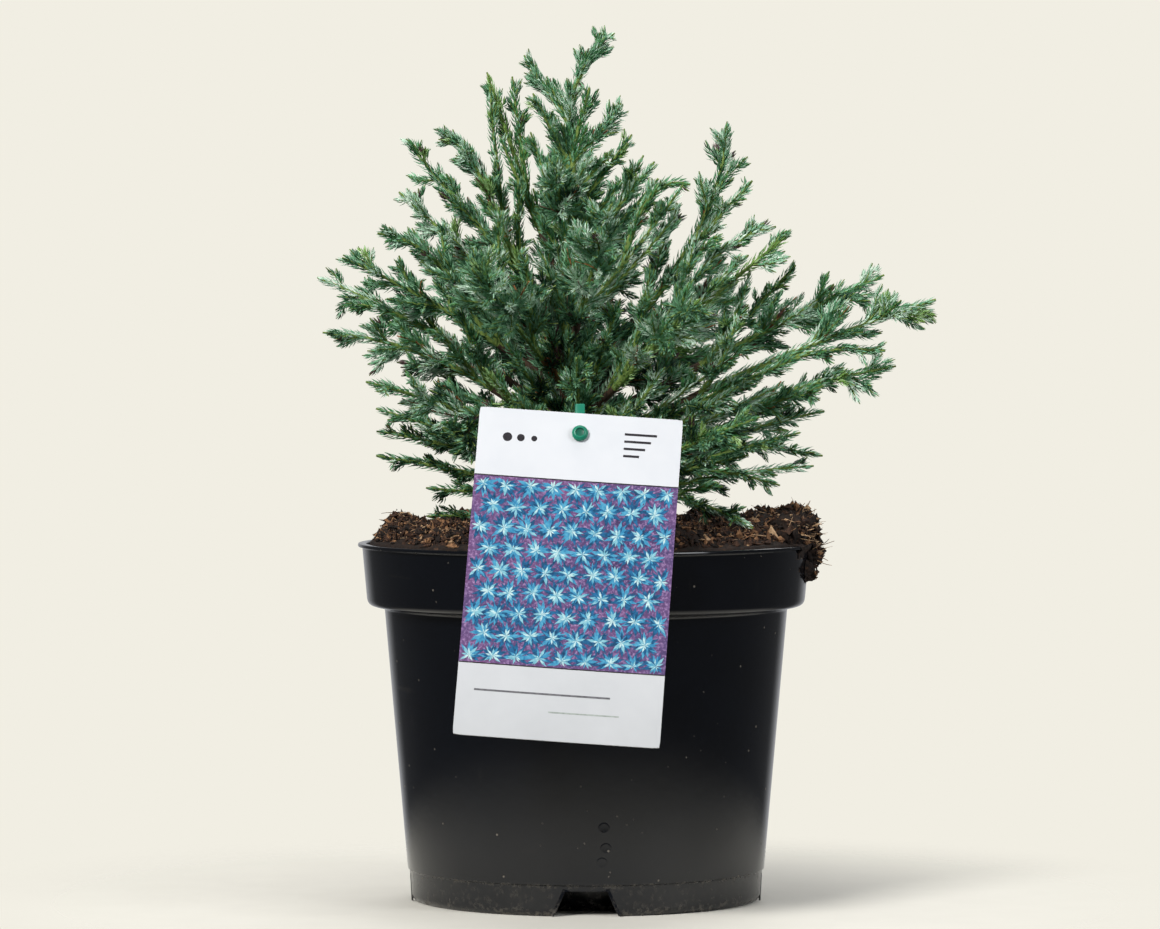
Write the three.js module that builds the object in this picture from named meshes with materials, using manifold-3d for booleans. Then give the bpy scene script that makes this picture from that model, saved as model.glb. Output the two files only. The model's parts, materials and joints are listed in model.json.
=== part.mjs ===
// A potted baby blue sawara cypress: a young dwarf conifer in a black nursery pot, with a picture tag on a
// green holder that stands in the peat and leans the tag against the rim.
// Millimetres, +Z up. The origin is the centre of the pot's underside and -Y is the front.

import * as THREE from "three";
import { mergeVertices } from "three/addons/utils/BufferGeometryUtils.js";
import Module from "manifold-3d";

const wasm = await Module();
wasm.setup();

// Driving dimensions

const CLEAR = 0.3; // gap between two pieces that touch
const FINEST_EDGE = 0.3; // shorter edges where two sprays join are closed up
const DEGREE = Math.PI / 180;

const POT = {
  height: 148.5,
  lipRadius: 95,
  lipDepth: 1.5,
  wall: 1.6,
  collarTopRadius: 93.2,
  collarFootRadius: 91,
  collarFoot: 122.5,
  bodyTopRadius: 83.9,
  bodyFootRadius: 74.3,
  footBand: 12.5,
  footBandRadius: 73.5,
  footEdge: 2,
  ringWidth: 2.4,
  padRadius: 51, // the flat middle of the base, which the pot stands on
  padThickness: 2.2,
  sides: 32,
};
const NOTCH = { count: 4, height: 10.4, topWidth: 17, footWidth: 27, depth: 12 };
const DRAIN = { count: 4, radius: 5, ring: 62, turn: 45 * DEGREE, sides: 8 };

const PEAT = {
  middle: 154, // height of the surface round the stem
  edge: 149, // and against the rim
  edgeRadius: 90.8,
  shoulder: 78, // radius where the surface starts to fall to the rim
  level: 12, // radius of the level patch that the stem stands on
  levelOut: 26, // radius where the heaps have their full height
  ripple: 0.9,
  rings: 5,
  sides: 28,
};
// Heaps of loose peat, as [x, y, height, width]
const HEAPS = [
  [-80, 4, 7, 9],
  [-58, -24, 4, 13],
  [-46, 56, 5, 12],
  [4, 78, 6, 11],
  [56, 52, 5, 13],
  [74, -12, 8, 13],
  [42, -64, 4, 11],
  [-22, -72, 3, 10],
  [-30, 20, 3, 15],
  [34, 12, 3, 14],
];
// Clods of fibrous peat that lie over the rim at the right, as [turn, radius, height, size]
const SPILL = [
  [-17, 87, 153, 9],
  [-4, 86.5, 154, 11],
  [10, 86, 153, 9],
  [-5, 91.5, 145, 7.5],
  [-9, 91.5, 136.5, 5.5],
];
const SPILL_DEPTH = 4; // how far under the collar the clods may hang

const STEM = {
  footRadius: 7.5,
  radius: 5, // above the root flare
  tipRadius: 1,
  flare: 9, // height over which the root flare dies away
  steps: 14,
  stepping: 1.25, // over 1 sets the steps closer together at the foot
  sides: 7,
};
const BOUGH = { steps: 3, sides: 5 };
// The line of the main stem, from its flat foot to the tip where the last spray starts
const STEM_LINE = [
  [0, 2, PEAT.middle + CLEAR],
  [0, 2, 162],
  [-8.5, 1, 235],
  [-6.5, 0, 300],
  [-6.3, 0, 334],
];

const TAG = {
  width: 82,
  height: 138,
  thickness: 0.8,
  corner: 2,
  lean: 21 * DEGREE,
  turn: -4.2 * DEGREE,
  margin: 4, // clear of leaves round it
};
// The pin that holds the tag: across and overRim place it, and below is its distance from the tag's top edge.
const PIN = {
  across: -2.5,
  overRim: 46.9,
  below: 8.8,
  radius: 1.5,
  headRadius: 3.3,
  headDepth: 2,
  sides: 12,
};
const HOLDER = { width: 4, depth: 1.8, above: 4.6, below: 6, foot: 130, point: 4 };

// One main shoot for each mass of foliage. tip is its furthest point and foot the height where its line leaves
// the stem. bare is the share of the line that is a bough with no leaves, and reach the length of its longest
// side spray. The line bends at a point that lies this share of the way out (out) and up (arch).
const SHOOTS = [
  { name: "crown_tip", tip: [10.8, -2, 362.7], foot: 334, reach: 18, arch: 0.85, sprays: 5 },
  { name: "crown_left", tip: [-25.8, 5, 351.4], foot: 322, reach: 15, sprays: 3 },
  { name: "crown_right", tip: [15, -5, 329], foot: 306, reach: 16, sprays: 4 },
  { name: "crown_back", tip: [-10, 32, 316], foot: 286, reach: 22, sprays: 5 },
  { name: "crown_front", tip: [-14, -30, 306], foot: 278, reach: 22, sprays: 5 },
  { name: "inner_right", tip: [24, 6, 309.8], foot: 256, reach: 23, arch: 0.4 },
  { name: "second_leader", tip: [-41.3, 4, 344.3], foot: 252, reach: 26, arch: 0.44, bare: 0.3 },
  { name: "upper_left", tip: [-74, -10, 314.5], foot: 238, reach: 28, bare: 0.24 },
  { name: "upper_left_low", tip: [-78.3, 14, 294.7], foot: 225, reach: 24, arch: 0.55, bare: 0.28 },
  { name: "left_high", tip: [-101, -12, 267], foot: 208, reach: 32, arch: 0.66, bare: 0.32 },
  { name: "far_left", tip: [-112.7, 18, 259], foot: 195, reach: 27, arch: 0.66, bare: 0.38 },
  { name: "far_left_low", tip: [-109, -14, 236], foot: 185, reach: 27, arch: 0.95, bare: 0.34 },
  { name: "left_middle", tip: [-90, -42, 216], foot: 177, reach: 27, arch: 0.72, bare: 0.3 },
  { name: "left_low", tip: [-88, 14, 204], foot: 171, reach: 23, arch: 0.62 },
  { name: "left_foot", tip: [-87, -12, 185], foot: 166, reach: 19, arch: 0.62 },
  { name: "left_ground", tip: [-65.5, -28, 160.5], foot: 161.5, reach: 12, arch: 0.8, sprays: 5 },
  { name: "right_leader", tip: [59.2, 4, 322.7], foot: 214, reach: 30, out: 0.95, arch: 0.5, bare: 0.34 },
  { name: "inner_right_front", tip: [40, -22, 297], foot: 238, reach: 27, arch: 0.4 },
  { name: "right_high", tip: [84.6, -14, 277.3], foot: 203, reach: 32, bare: 0.34 },
  { name: "far_right_high", tip: [125, 16, 260], foot: 194, reach: 30, arch: 0.56, bare: 0.4 },
  { name: "far_right", tip: [145, -10, 249.8], foot: 185, reach: 31, arch: 0.62, bare: 0.38, sprays: 8 },
  { name: "far_right_low", tip: [129, -2, 222], foot: 176, reach: 27, arch: 0.75, bare: 0.36 },
  { name: "right_low", tip: [100, 16, 203], foot: 168.5, reach: 23, arch: 0.7 },
  { name: "right_foot", tip: [94, -20, 181], foot: 163, reach: 19, arch: 0.8 },
  { name: "front_high", tip: [10, -66, 288], foot: 226, reach: 32, arch: 0.45, bare: 0.26 },
  { name: "front_left", tip: [-46, -78, 262], foot: 210, reach: 34, bare: 0.3 },
  { name: "front_right", tip: [46, -82, 250], foot: 196, reach: 34, bare: 0.32 },
  { name: "front_low_left", tip: [-58, -68, 198], foot: 172, reach: 26, arch: 0.62 },
  { name: "front_low_right", tip: [70, -66, 202], foot: 166, reach: 27, arch: 0.62 },
  { name: "back_high", tip: [14, 64, 290], foot: 228, reach: 34, arch: 0.45, bare: 0.26 },
  { name: "back_left", tip: [-58, 80, 262], foot: 208, reach: 35, bare: 0.32 },
  { name: "back_right", tip: [64, 82, 256], foot: 200, reach: 35, bare: 0.34 },
  { name: "back_middle", tip: [-4, 108, 230], foot: 188, reach: 35, arch: 0.66, bare: 0.34 },
  { name: "back_low_left", tip: [-66, 62, 196], foot: 174, reach: 30, arch: 0.62 },
  { name: "back_low_right", tip: [62, 68, 190], foot: 171, reach: 30, arch: 0.62 },
];

// The growth rule that every main shoot follows
const GROWTH = {
  footRadius: 2.1, // of a long line where it leaves the stem
  lightRadius: 1.2, // of the shortest lines there
  longLine: 150,
  tipRadius: 0.7,
  firstSpray: 0.12, // place of the first side spray along the leafy part
  lastSpray: 0.9,
  sprays: 7,
  turn: 137.5 * DEGREE, // from one side spray to the next, round their shoot
  opening: 50 * DEGREE, // angle between a side spray and its shoot
  openingSpread: 9 * DEGREE,
  forward: 0.3, // how far a spray's tip bends forward along its shoot
  lift: 0.16, // and how far upwards
  shortest: 0.42, // length of the last side spray, as a share of the longest
  tries: [1, 0.8, 0.64, 0.5], // a spray that leaves its space is cut back to these shares
  weakest: 0.85, // a spray's length varies by chance between these shares
  strongest: 1.1,
  least: 6, // a shorter spray is left out
  samples: 14, // points along a line that distances are measured to
};
const NEEDLES = {
  core: 1, // radius of a side spray's own shoot
  reach: 5.6, // how far a main shoot's needle tips stand out from its middle
  sprayReach: 4.8,
  least: 1.8, // a side spray keeps at least this room round it
  narrowing: 0.55, // the reach at a shoot's tip, as a share of that at its foot
  pitch: 15, // between the whorls of a main shoot
  sprayPitch: 13,
  rise: 0.8, // a whorl's tips lie this share of a pitch above its foot
  bareFoot: 0.16, // share of a side spray with no needles
  leastWhorls: 2,
  tip: 0.25, // radius of a spray's end
};

// Solids

// A closed geometry as a manifold solid.
function solidOf(geometry) {
  const shape = geometry.clone();
  shape.deleteAttribute("normal");
  shape.deleteAttribute("uv");
  const merged = mergeVertices(shape, 1e-4);
  return new wasm.Manifold(
    new wasm.Mesh({
      numProp: 3,
      vertProperties: new Float32Array(merged.attributes.position.array),
      triVerts: new Uint32Array(merged.index.array),
    }),
  );
}

// A manifold solid as a named mesh.
function meshOf(name, solid, material) {
  const made = solid.getMesh();
  const geometry = new THREE.BufferGeometry()
    .setAttribute("position", new THREE.BufferAttribute(new Float32Array(made.vertProperties), 3))
    .setIndex(new THREE.BufferAttribute(new Uint32Array(made.triVerts), 1));
  geometry.computeVertexNormals();
  const mesh = new THREE.Mesh(geometry, material);
  mesh.name = name;
  return mesh;
}

// The largest body of a solid that has fallen apart.
function largest(solid) {
  return solid.decompose().reduce((best, body) => (body.volume() > best.volume() ? body : best));
}

// A closed solid of revolution about Z from a profile of [radius, height], which runs anticlockwise.
function turned(profile, sides) {
  const points = profile.map(([radius, height]) => new THREE.Vector2(radius, height));
  return new THREE.LatheGeometry(points, sides).rotateX(Math.PI / 2);
}

// A cylinder with its rings laid along a curve. rings gives each ring's place on the curve, its radius, its
// turn, and how far it is moved ahead of that place.
function alongCurve(curve, sides, rings) {
  const steps = rings.length - 1;
  const geometry = new THREE.CylinderGeometry(1, 1, 1, sides, steps);
  const position = geometry.attributes.position;
  const frames = rings.map(({ at, ahead = 0 }) => {
    const place = frameAt(curve, at);
    place.origin.addScaledVector(place.ahead, ahead);
    return place;
  });
  const point = new THREE.Vector3();
  for (let i = 0; i < position.count; i++) {
    const k = Math.round((position.getY(i) + 0.5) * steps);
    const { radius, turn = 0 } = rings[k];
    const { origin, side, up } = frames[k];
    const across = Math.hypot(position.getX(i), position.getZ(i)) * radius;
    const angle = Math.atan2(position.getX(i), position.getZ(i)) + turn;
    point.copy(origin).addScaledVector(side, across * Math.cos(angle));
    point.addScaledVector(up, across * Math.sin(angle));
    position.setXYZ(i, point.x, point.y, point.z);
  }
  return geometry;
}

// A direction that no shoot runs along
const REFERENCE = new THREE.Vector3(0.31, 0.93, 0.19).normalize();

// The place on a curve, its direction there, and two directions square to it.
function frameAt(curve, at) {
  const ahead = curve.getTangent(at).normalize();
  const side = new THREE.Vector3().crossVectors(ahead, REFERENCE).normalize();
  const up = new THREE.Vector3().crossVectors(ahead, side);
  return { origin: curve.getPoint(at), ahead, side, up };
}

// A number from 0 to 1 that is always the same for the same shoot, spray and use.
function chance(shoot, spray, use) {
  const x = Math.sin(shoot * 12.9898 + spray * 78.233 + use * 37.719) * 43758.5453;
  return x - Math.floor(x);
}

const mix = (from, to, share) => from + (to - from) * share;

// Pot

// The pot: its base has a flat middle, a raised channel round it with drain holes, and a notched foot ring.
function makePot() {
  const p = POT;
  const inner = p.padRadius + 2;
  const channel = p.footBand - p.wall;
  const profile = [
    [0, 0],
    [p.padRadius, 0],
    [inner, channel],
    [p.footBandRadius - p.ringWidth, channel],
    [p.footBandRadius - p.ringWidth, 0],
    [p.footBandRadius - p.footEdge, 0],
    [p.footBandRadius, p.footEdge],
    [p.footBandRadius, p.footBand],
    [p.bodyFootRadius, p.footBand + 0.5],
    [p.bodyTopRadius, p.collarFoot - 1],
    [p.collarFootRadius, p.collarFoot + 0.4],
    [p.collarTopRadius, p.height - p.lipDepth],
    [p.lipRadius, p.height - p.lipDepth],
    [p.lipRadius, p.height],
    [p.collarTopRadius - p.wall, p.height],
    [p.collarFootRadius - p.wall, p.collarFoot + p.wall],
    [p.bodyTopRadius - p.wall, p.collarFoot + p.wall],
    [p.bodyFootRadius - p.wall, p.footBand + p.wall],
    [inner - p.wall, p.footBand + p.wall],
    [p.padRadius - p.wall, p.padThickness],
    [0, p.padThickness],
  ];
  let pot = solidOf(turned(profile, p.sides));
  for (let i = 0; i < NOTCH.count; i++) {
    pot = pot.subtract(solidOf(notchAt((i * 2 * Math.PI) / NOTCH.count)));
  }
  for (let i = 0; i < DRAIN.count; i++) {
    const turn = DRAIN.turn + (i * 2 * Math.PI) / DRAIN.count;
    const hole = new THREE.CylinderGeometry(DRAIN.radius, DRAIN.radius, p.footBand, DRAIN.sides)
      .rotateX(Math.PI / 2)
      .translate(DRAIN.ring * Math.cos(turn), DRAIN.ring * Math.sin(turn), p.footBand);
    pot = pot.subtract(solidOf(hole));
  }
  return pot;
}

// The block that cuts one drainage notch through the foot ring, facing the given turn.
function notchAt(turn) {
  const outline = new THREE.Shape();
  outline.moveTo(-NOTCH.footWidth / 2, -1);
  outline.lineTo(NOTCH.footWidth / 2, -1);
  outline.lineTo(NOTCH.topWidth / 2, NOTCH.height);
  outline.lineTo(-NOTCH.topWidth / 2, NOTCH.height);
  outline.closePath();
  const inside = POT.footBandRadius - POT.ringWidth - 4;
  return new THREE.ExtrudeGeometry(outline, { depth: NOTCH.depth, bevelEnabled: false })
    .rotateX(Math.PI / 2)
    .translate(0, -inside, 0)
    .rotateZ(turn);
}

// Peat

// Height of the peat's surface.
function peatTop(x, y) {
  const radius = Math.hypot(x, y);
  const level = THREE.MathUtils.smoothstep(radius, PEAT.level, PEAT.levelOut);
  const fall = THREE.MathUtils.smoothstep(radius, PEAT.shoulder, PEAT.edgeRadius);
  let heaps = PEAT.ripple * Math.sin(0.21 * x + 0.8) * Math.cos(0.19 * y - 0.4);
  for (const [heapX, heapY, height, width] of HEAPS) {
    heaps += height * Math.exp(-((x - heapX) ** 2 + (y - heapY) ** 2) / (2 * width * width));
  }
  return mix(PEAT.middle + level * heaps, PEAT.edge, fall);
}

// The inside of the pot as a profile that keeps clear of its wall, closed by the level of the rim.
function makePeat() {
  const gap = 2 * CLEAR;
  const p = POT;
  const wall = p.wall + gap;
  const profile = [
    [0, p.padThickness + gap],
    [p.padRadius - wall, p.padThickness + gap],
    [p.padRadius + 2 - wall, p.footBand + wall],
    [p.bodyFootRadius - wall, p.footBand + wall],
    [p.bodyTopRadius - wall, p.collarFoot + wall],
    [p.collarFootRadius - wall, p.collarFoot + wall],
    [PEAT.edgeRadius - gap, p.height - p.lipDepth],
  ];
  for (let ring = PEAT.rings - 1; ring >= 0; ring--) {
    profile.push([mix(PEAT.level, PEAT.edgeRadius, ring / PEAT.rings), p.height + 1]);
  }
  profile.push([0, p.height + 1]);
  const geometry = turned(profile, PEAT.sides);
  const position = geometry.attributes.position;
  for (let i = 0; i < position.count; i++) {
    if (position.getZ(i) > p.height) {
      position.setZ(i, peatTop(position.getX(i), position.getY(i)));
    }
  }
  return solidOf(geometry);
}

// The clods over the rim, cut clear of the pot and the peat.
function makeSpill(peat) {
  const clods = SPILL.map(([turn, radius, height, size], i) => {
    const clod = new THREE.IcosahedronGeometry(size, 1);
    const position = clod.attributes.position;
    for (let k = 0; k < position.count; k++) {
      const [x, y, z] = [position.getX(k), position.getY(k), position.getZ(k)];
      const bump = 1 + 0.14 * Math.sin(0.9 * x + i) * Math.cos(0.8 * y - i) + 0.1 * Math.sin(1.1 * z);
      position.setXYZ(k, x * bump, y * bump, z * bump);
    }
    clod.translate(radius * Math.cos(turn * DEGREE), radius * Math.sin(turn * DEGREE), height);
    return solidOf(clod);
  });
  const p = POT;
  const below = p.collarFoot - SPILL_DEPTH;
  const rim = [
    [0, below],
    [p.collarFootRadius + CLEAR, below],
    [p.collarTopRadius + CLEAR, p.height - p.lipDepth - CLEAR],
    [p.lipRadius + CLEAR, p.height - p.lipDepth - CLEAR],
    [p.lipRadius + CLEAR, p.height + CLEAR],
    [0, p.height + CLEAR],
  ];
  const taken = solidOf(turned(rim, p.sides)).add(peat.translate([0, 0, CLEAR]));
  return largest(wasm.Manifold.union(clods).subtract(taken));
}

// Tag and holder

// The tag's own frame: its origin is the pin, its X runs across the tag, its Y up it and its Z out of its
// face.
function tagFrame() {
  const up = new THREE.Vector3(0, Math.sin(TAG.lean), Math.cos(TAG.lean));
  const lip = new THREE.Vector3(PIN.across, -POT.lipRadius - CLEAR / up.z, POT.height);
  const pin = lip.addScaledVector(up, PIN.overRim / up.z);
  const basis = new THREE.Matrix4().makeBasis(
    new THREE.Vector3(1, 0, 0),
    up,
    new THREE.Vector3(0, -up.z, up.y),
  );
  return basis.setPosition(pin);
}

// The tag with its round corners and the hole for its pin.
function makeTag() {
  const left = -TAG.width / 2;
  const top = PIN.below;
  const foot = top - TAG.height;
  const r = TAG.corner;
  const outline = new THREE.Shape();
  outline.moveTo(left + r, foot);
  outline.lineTo(-left - r, foot);
  outline.quadraticCurveTo(-left, foot, -left, foot + r);
  outline.lineTo(-left, top - r);
  outline.quadraticCurveTo(-left, top, -left - r, top);
  outline.lineTo(left + r, top);
  outline.quadraticCurveTo(left, top, left, top - r);
  outline.lineTo(left, foot + r);
  outline.quadraticCurveTo(left, foot, left + r, foot);
  outline.holes.push(new THREE.Path().absarc(0, 0, PIN.radius + CLEAR, 0, 2 * Math.PI, true));
  const options = { depth: TAG.thickness, bevelEnabled: false, curveSegments: 4 };
  return new THREE.ExtrudeGeometry(outline, options).rotateZ(TAG.turn);
}

// The flat holder behind the tag: a strip that follows the tag at its top and turns down into the peat, with
// the pin and the pin's round head.
function makeHolder(frame) {
  const back = -CLEAR;
  const bend = new THREE.Vector3(0, -HOLDER.below, back).applyMatrix4(frame);
  const head = new THREE.Vector3(0, PIN.below + HOLDER.above, back).applyMatrix4(frame);
  const behind = new THREE.Vector3(0, 0, -1).transformDirection(frame).multiplyScalar(HOLDER.depth);
  const side = new THREE.Shape();
  side.moveTo(head.y, head.z);
  side.lineTo(bend.y, bend.z);
  side.lineTo(bend.y, HOLDER.foot);
  side.lineTo(bend.y + HOLDER.depth / 2, HOLDER.foot - HOLDER.point);
  side.lineTo(bend.y + HOLDER.depth, HOLDER.foot);
  side.lineTo(bend.y + HOLDER.depth, bend.z);
  side.lineTo(head.y + behind.y, head.z + behind.z);
  side.closePath();
  const strip = new THREE.ExtrudeGeometry(side, { depth: HOLDER.width, bevelEnabled: false })
    .translate(0, 0, -HOLDER.width / 2)
    .applyMatrix4(
      new THREE.Matrix4().makeBasis(
        new THREE.Vector3(0, 1, 0),
        new THREE.Vector3(0, 0, 1),
        new THREE.Vector3(1, 0, 0),
      ),
    )
    .translate(bend.x, 0, 0);
  const root = back - HOLDER.depth / 2;
  const under = TAG.thickness + CLEAR;
  const profile = [
    [0, root],
    [PIN.radius, root],
    [PIN.radius, under],
    [PIN.headRadius, under],
    [PIN.headRadius, under + PIN.headDepth / 2],
    [PIN.headRadius / 2, under + PIN.headDepth],
    [0, under + PIN.headDepth],
  ];
  return solidOf(strip).add(solidOf(turned(profile, PIN.sides).applyMatrix4(frame)));
}

// The clear space that the holder's foot needs in the peat.
function holderSocket(frame) {
  const bend = new THREE.Vector3(0, -HOLDER.below, -CLEAR).applyMatrix4(frame);
  const top = PEAT.middle + 20;
  const foot = HOLDER.foot - HOLDER.point - CLEAR;
  return new THREE.BoxGeometry(HOLDER.width + 2 * CLEAR, HOLDER.depth + 2 * CLEAR, top - foot).translate(
    bend.x,
    bend.y + HOLDER.depth / 2,
    (top + foot) / 2,
  );
}

// Stem, boughs and foliage

const stemCurve = new THREE.CatmullRomCurve3(STEM_LINE.map((point) => new THREE.Vector3(...point)));

// Radius of the main stem, with its root flare.
function stemRadius(at) {
  const height = at * (STEM_LINE.at(-1)[2] - STEM_LINE[0][2]);
  const flare = (STEM.footRadius - STEM.radius) * Math.exp(-height / STEM.flare);
  return mix(STEM.radius, STEM.tipRadius, at) + flare;
}

// The main stem, or the space round it that its neighbours keep clear of.
function makeStem(extra = 0) {
  const rings = [];
  for (let k = 0; k <= STEM.steps; k++) {
    const at = (k / STEM.steps) ** STEM.stepping;
    rings.push({ at, radius: stemRadius(at) + extra });
  }
  rings[0].ahead = -extra;
  rings.at(-1).ahead = extra;
  return solidOf(alongCurve(stemCurve, STEM.sides, rings));
}

// Place on the main stem at a height.
function stemAt(height) {
  let low = 0;
  let high = 1;
  for (let i = 0; i < 24; i++) {
    const middle = (low + high) / 2;
    if (stemCurve.getPoint(middle).z < height) {
      low = middle;
    } else {
      high = middle;
    }
  }
  return stemCurve.getPoint(low);
}

// The whole line of a main shoot, from the middle of the main stem to its tip. By default it is straight.
function shootLine({ tip, foot, out = 0.5, arch = 0.5 }) {
  const end = new THREE.Vector3(...tip);
  const start = stemAt(foot);
  const middle = start.clone().lerp(end, out);
  middle.z = mix(start.z, end.z, arch);
  return new THREE.QuadraticBezierCurve3(start, middle, end);
}

// Radius of a line's own wood at a place along it.
function lineRadius(line, at) {
  const foot = mix(GROWTH.lightRadius, GROWTH.footRadius, Math.min(1, line.length / GROWTH.longLine));
  return mix(foot, GROWTH.tipRadius, at);
}

const LINES = SHOOTS.map((shoot, index) => {
  const curve = shootLine(shoot);
  const length = curve.getLength();
  const line = { ...shoot, index, curve, length, bare: shoot.bare ?? 0 };
  line.points = curve.getPoints(GROWTH.samples);
  return line;
});

// Distance from a point to a line given by its sample points.
function distanceTo(points, point) {
  const piece = new THREE.Line3();
  const nearest = new THREE.Vector3();
  let least = Infinity;
  for (let k = 1; k < points.length; k++) {
    piece.set(points[k - 1], points[k]);
    piece.closestPointToPoint(point, true, nearest);
    least = Math.min(least, nearest.distanceTo(point));
  }
  return least;
}

const stemPoints = stemCurve.getPoints(2 * GROWTH.samples);
const frame = tagFrame();
const intoTag = frame.clone().invert();

// The radius of the largest ball round a point that stays in the space of one mass: nearer to its own line than
// to any other, and clear of the main stem, the peat, the tag and its holder.
function roomAt(point, own) {
  const near = distanceTo(own.points, point);
  let room = distanceTo(stemPoints, point) - STEM.radius - CLEAR;
  for (const other of LINES) {
    if (other !== own) {
      room = Math.min(room, (distanceTo(other.points, point) - near - CLEAR) / 2);
    }
  }
  const seen = point.clone().applyMatrix4(intoTag);
  const fromTag = Math.max(
    -seen.z - HOLDER.depth - 1,
    Math.abs(seen.x) - TAG.width / 2 - TAG.margin,
    seen.y - PIN.below - HOLDER.above - 1,
  );
  return Math.min(room, fromTag, point.z - peatTop(point.x, point.y) - 1);
}

// A tapering bough: the bare part of a line.
function makeBough(line, stem) {
  const rings = [];
  for (let k = 0; k <= BOUGH.steps; k++) {
    const at = (line.bare * k) / BOUGH.steps;
    rings.push({ at, radius: lineRadius(line, at) });
  }
  return solidOf(alongCurve(line.curve, BOUGH.sides, rings)).subtract(stem);
}

// A spray of needles on a curve: a slim three-sided shoot whose rings alternate between its core and the tips
// of three needles. Each ring is turned a sixth of a circle from the last, so the whorls look like stars.
function makeSpray(curve, whorls, core, bareFoot, reachAt) {
  const pitch = (1 - bareFoot) / whorls;
  const rings = [
    { at: 0, radius: core },
    { at: bareFoot, radius: core },
  ];
  for (let k = 0; k < whorls; k++) {
    const foot = bareFoot + k * pitch;
    const tips = foot + NEEDLES.rise * pitch;
    const radius = mix(core, NEEDLES.tip, (k + 1) / whorls);
    rings.push({ at: tips, radius: Math.max(radius, reachAt(tips)) });
    rings.push({ at: foot + pitch, radius });
  }
  rings.forEach((ring, k) => {
    ring.turn = (-k * Math.PI) / 3;
  });
  return solidOf(alongCurve(curve, 3, rings));
}

// The curve of one side spray, which opens from its shoot and then bends forward and up.
function sprayCurve(line, number, count, share) {
  const place = (number + 0.5) / count;
  const along = mix(GROWTH.firstSpray, GROWTH.lastSpray, place);
  const at = mix(line.bare, 1, along);
  const { origin, ahead, side, up } = frameAt(line.curve, at);
  const turn = number * GROWTH.turn + 2 * Math.PI * chance(line.index, 0, 1);
  const opening = GROWTH.opening + GROWTH.openingSpread * (2 * chance(line.index, number, 2) - 1);
  const vigour = mix(GROWTH.weakest, GROWTH.strongest, chance(line.index, number, 3));
  const length = share * line.reach * mix(1, GROWTH.shortest, place) * vigour;
  const out = side.multiplyScalar(Math.cos(turn)).addScaledVector(up, Math.sin(turn));
  const start = ahead.clone().multiplyScalar(Math.cos(opening)).addScaledVector(out, Math.sin(opening));
  const end = start.clone().addScaledVector(ahead, GROWTH.forward);
  end.z += GROWTH.lift;
  end.normalize();
  const middle = origin.clone().addScaledVector(start, length * 0.5);
  const tip = middle.clone().addScaledVector(end, length * 0.5);
  return { curve: new THREE.QuadraticBezierCurve3(origin, middle, tip), length };
}

// One mass of foliage: the leafy part of the main shoot with its side sprays fused on.
function makeFoliage(line, stem) {
  const start = line.bare + CLEAR / line.length;
  const leafy = new THREE.CatmullRomCurve3(
    [0, 0.25, 0.5, 0.75, 1].map((k) => line.curve.getPoint(mix(start, 1, k))),
  );
  const bareFoot = line.bare ? NEEDLES.bareFoot / 2 : 2 * NEEDLES.bareFoot;
  const core = lineRadius(line, start);
  const reachOn = (curve, widest) => (at) =>
    Math.min(widest * mix(1, NEEDLES.narrowing, at), roomAt(curve.getPoint(at), line));
  const whorls = Math.round((line.length * (1 - start)) / NEEDLES.pitch);
  const solids = [makeSpray(leafy, whorls, core, bareFoot, reachOn(leafy, NEEDLES.reach))];
  const count = line.sprays ?? GROWTH.sprays;
  for (let number = 0; number < count; number++) {
    for (const share of GROWTH.tries) {
      const { curve, length } = sprayCurve(line, number, count, share);
      const points = curve.getPoints(5).slice(1);
      const inside = points.every((point) => roomAt(point, line) > NEEDLES.least);
      if (inside && length > GROWTH.least) {
        const sprayWhorls = Math.max(NEEDLES.leastWhorls, Math.round(length / NEEDLES.sprayPitch));
        const reach = reachOn(curve, NEEDLES.sprayReach);
        solids.push(makeSpray(curve, sprayWhorls, NEEDLES.core, NEEDLES.bareFoot, reach));
        break;
      }
    }
  }
  const mass = wasm.Manifold.union(solids);
  return largest(line.bare ? mass : mass.subtract(stem)).simplify(FINEST_EDGE);
}

// Assembly

const material = (color, roughness) => new THREE.MeshStandardMaterial({ color, roughness, metalness: 0 });
const blackPlastic = material(0x131516, 0.35);
const peatBrown = material(0x3b2417, 1);
const bark = material(0x6b4a30, 0.9);
const needles = material(0x3f7460, 0.8);
const tagWhite = material(0xeef0f2, 0.4);
const holderGreen = material(0x17886b, 0.4);

const plant = new THREE.Group();
const clearStem = makeStem(CLEAR);
const peat = makePeat();
const socket = solidOf(holderSocket(frame));
plant.add(meshOf("pot", makePot(), blackPlastic));
plant.add(meshOf("peat", peat.subtract(socket), peatBrown));
plant.add(meshOf("peat_over_rim", makeSpill(peat), peatBrown));
plant.add(meshOf("main_stem", makeStem(), bark));
for (const line of LINES) {
  if (line.bare) {
    plant.add(meshOf("bough_" + line.name, makeBough(line, clearStem), bark));
  }
  plant.add(meshOf("foliage_" + line.name, makeFoliage(line, clearStem), needles));
}

const tag = new THREE.Mesh(makeTag(), tagWhite);
tag.name = "picture_tag";
tag.applyMatrix4(frame);
plant.add(tag);
plant.add(meshOf("tag_holder", makeHolder(frame), holderGreen));

export default plant;
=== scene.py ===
"""A young dwarf sawara cypress in a black nursery pot, with a picture tag on a green holder.

Sizes are in millimetres and become metres as each mesh is made. The frame is the part's own: +Z up, -Y the
front, and the origin at the centre of the pot's underside. The foliage grows by the same seeded rule as the
part's masses, carried on to finer shoots and single needles.
"""

import json
import logging
import math
from collections.abc import Callable
from dataclasses import dataclass, field
from enum import Enum

import bmesh
import bpy
import numpy as np
from mathutils import Matrix, Vector, noise

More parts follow.
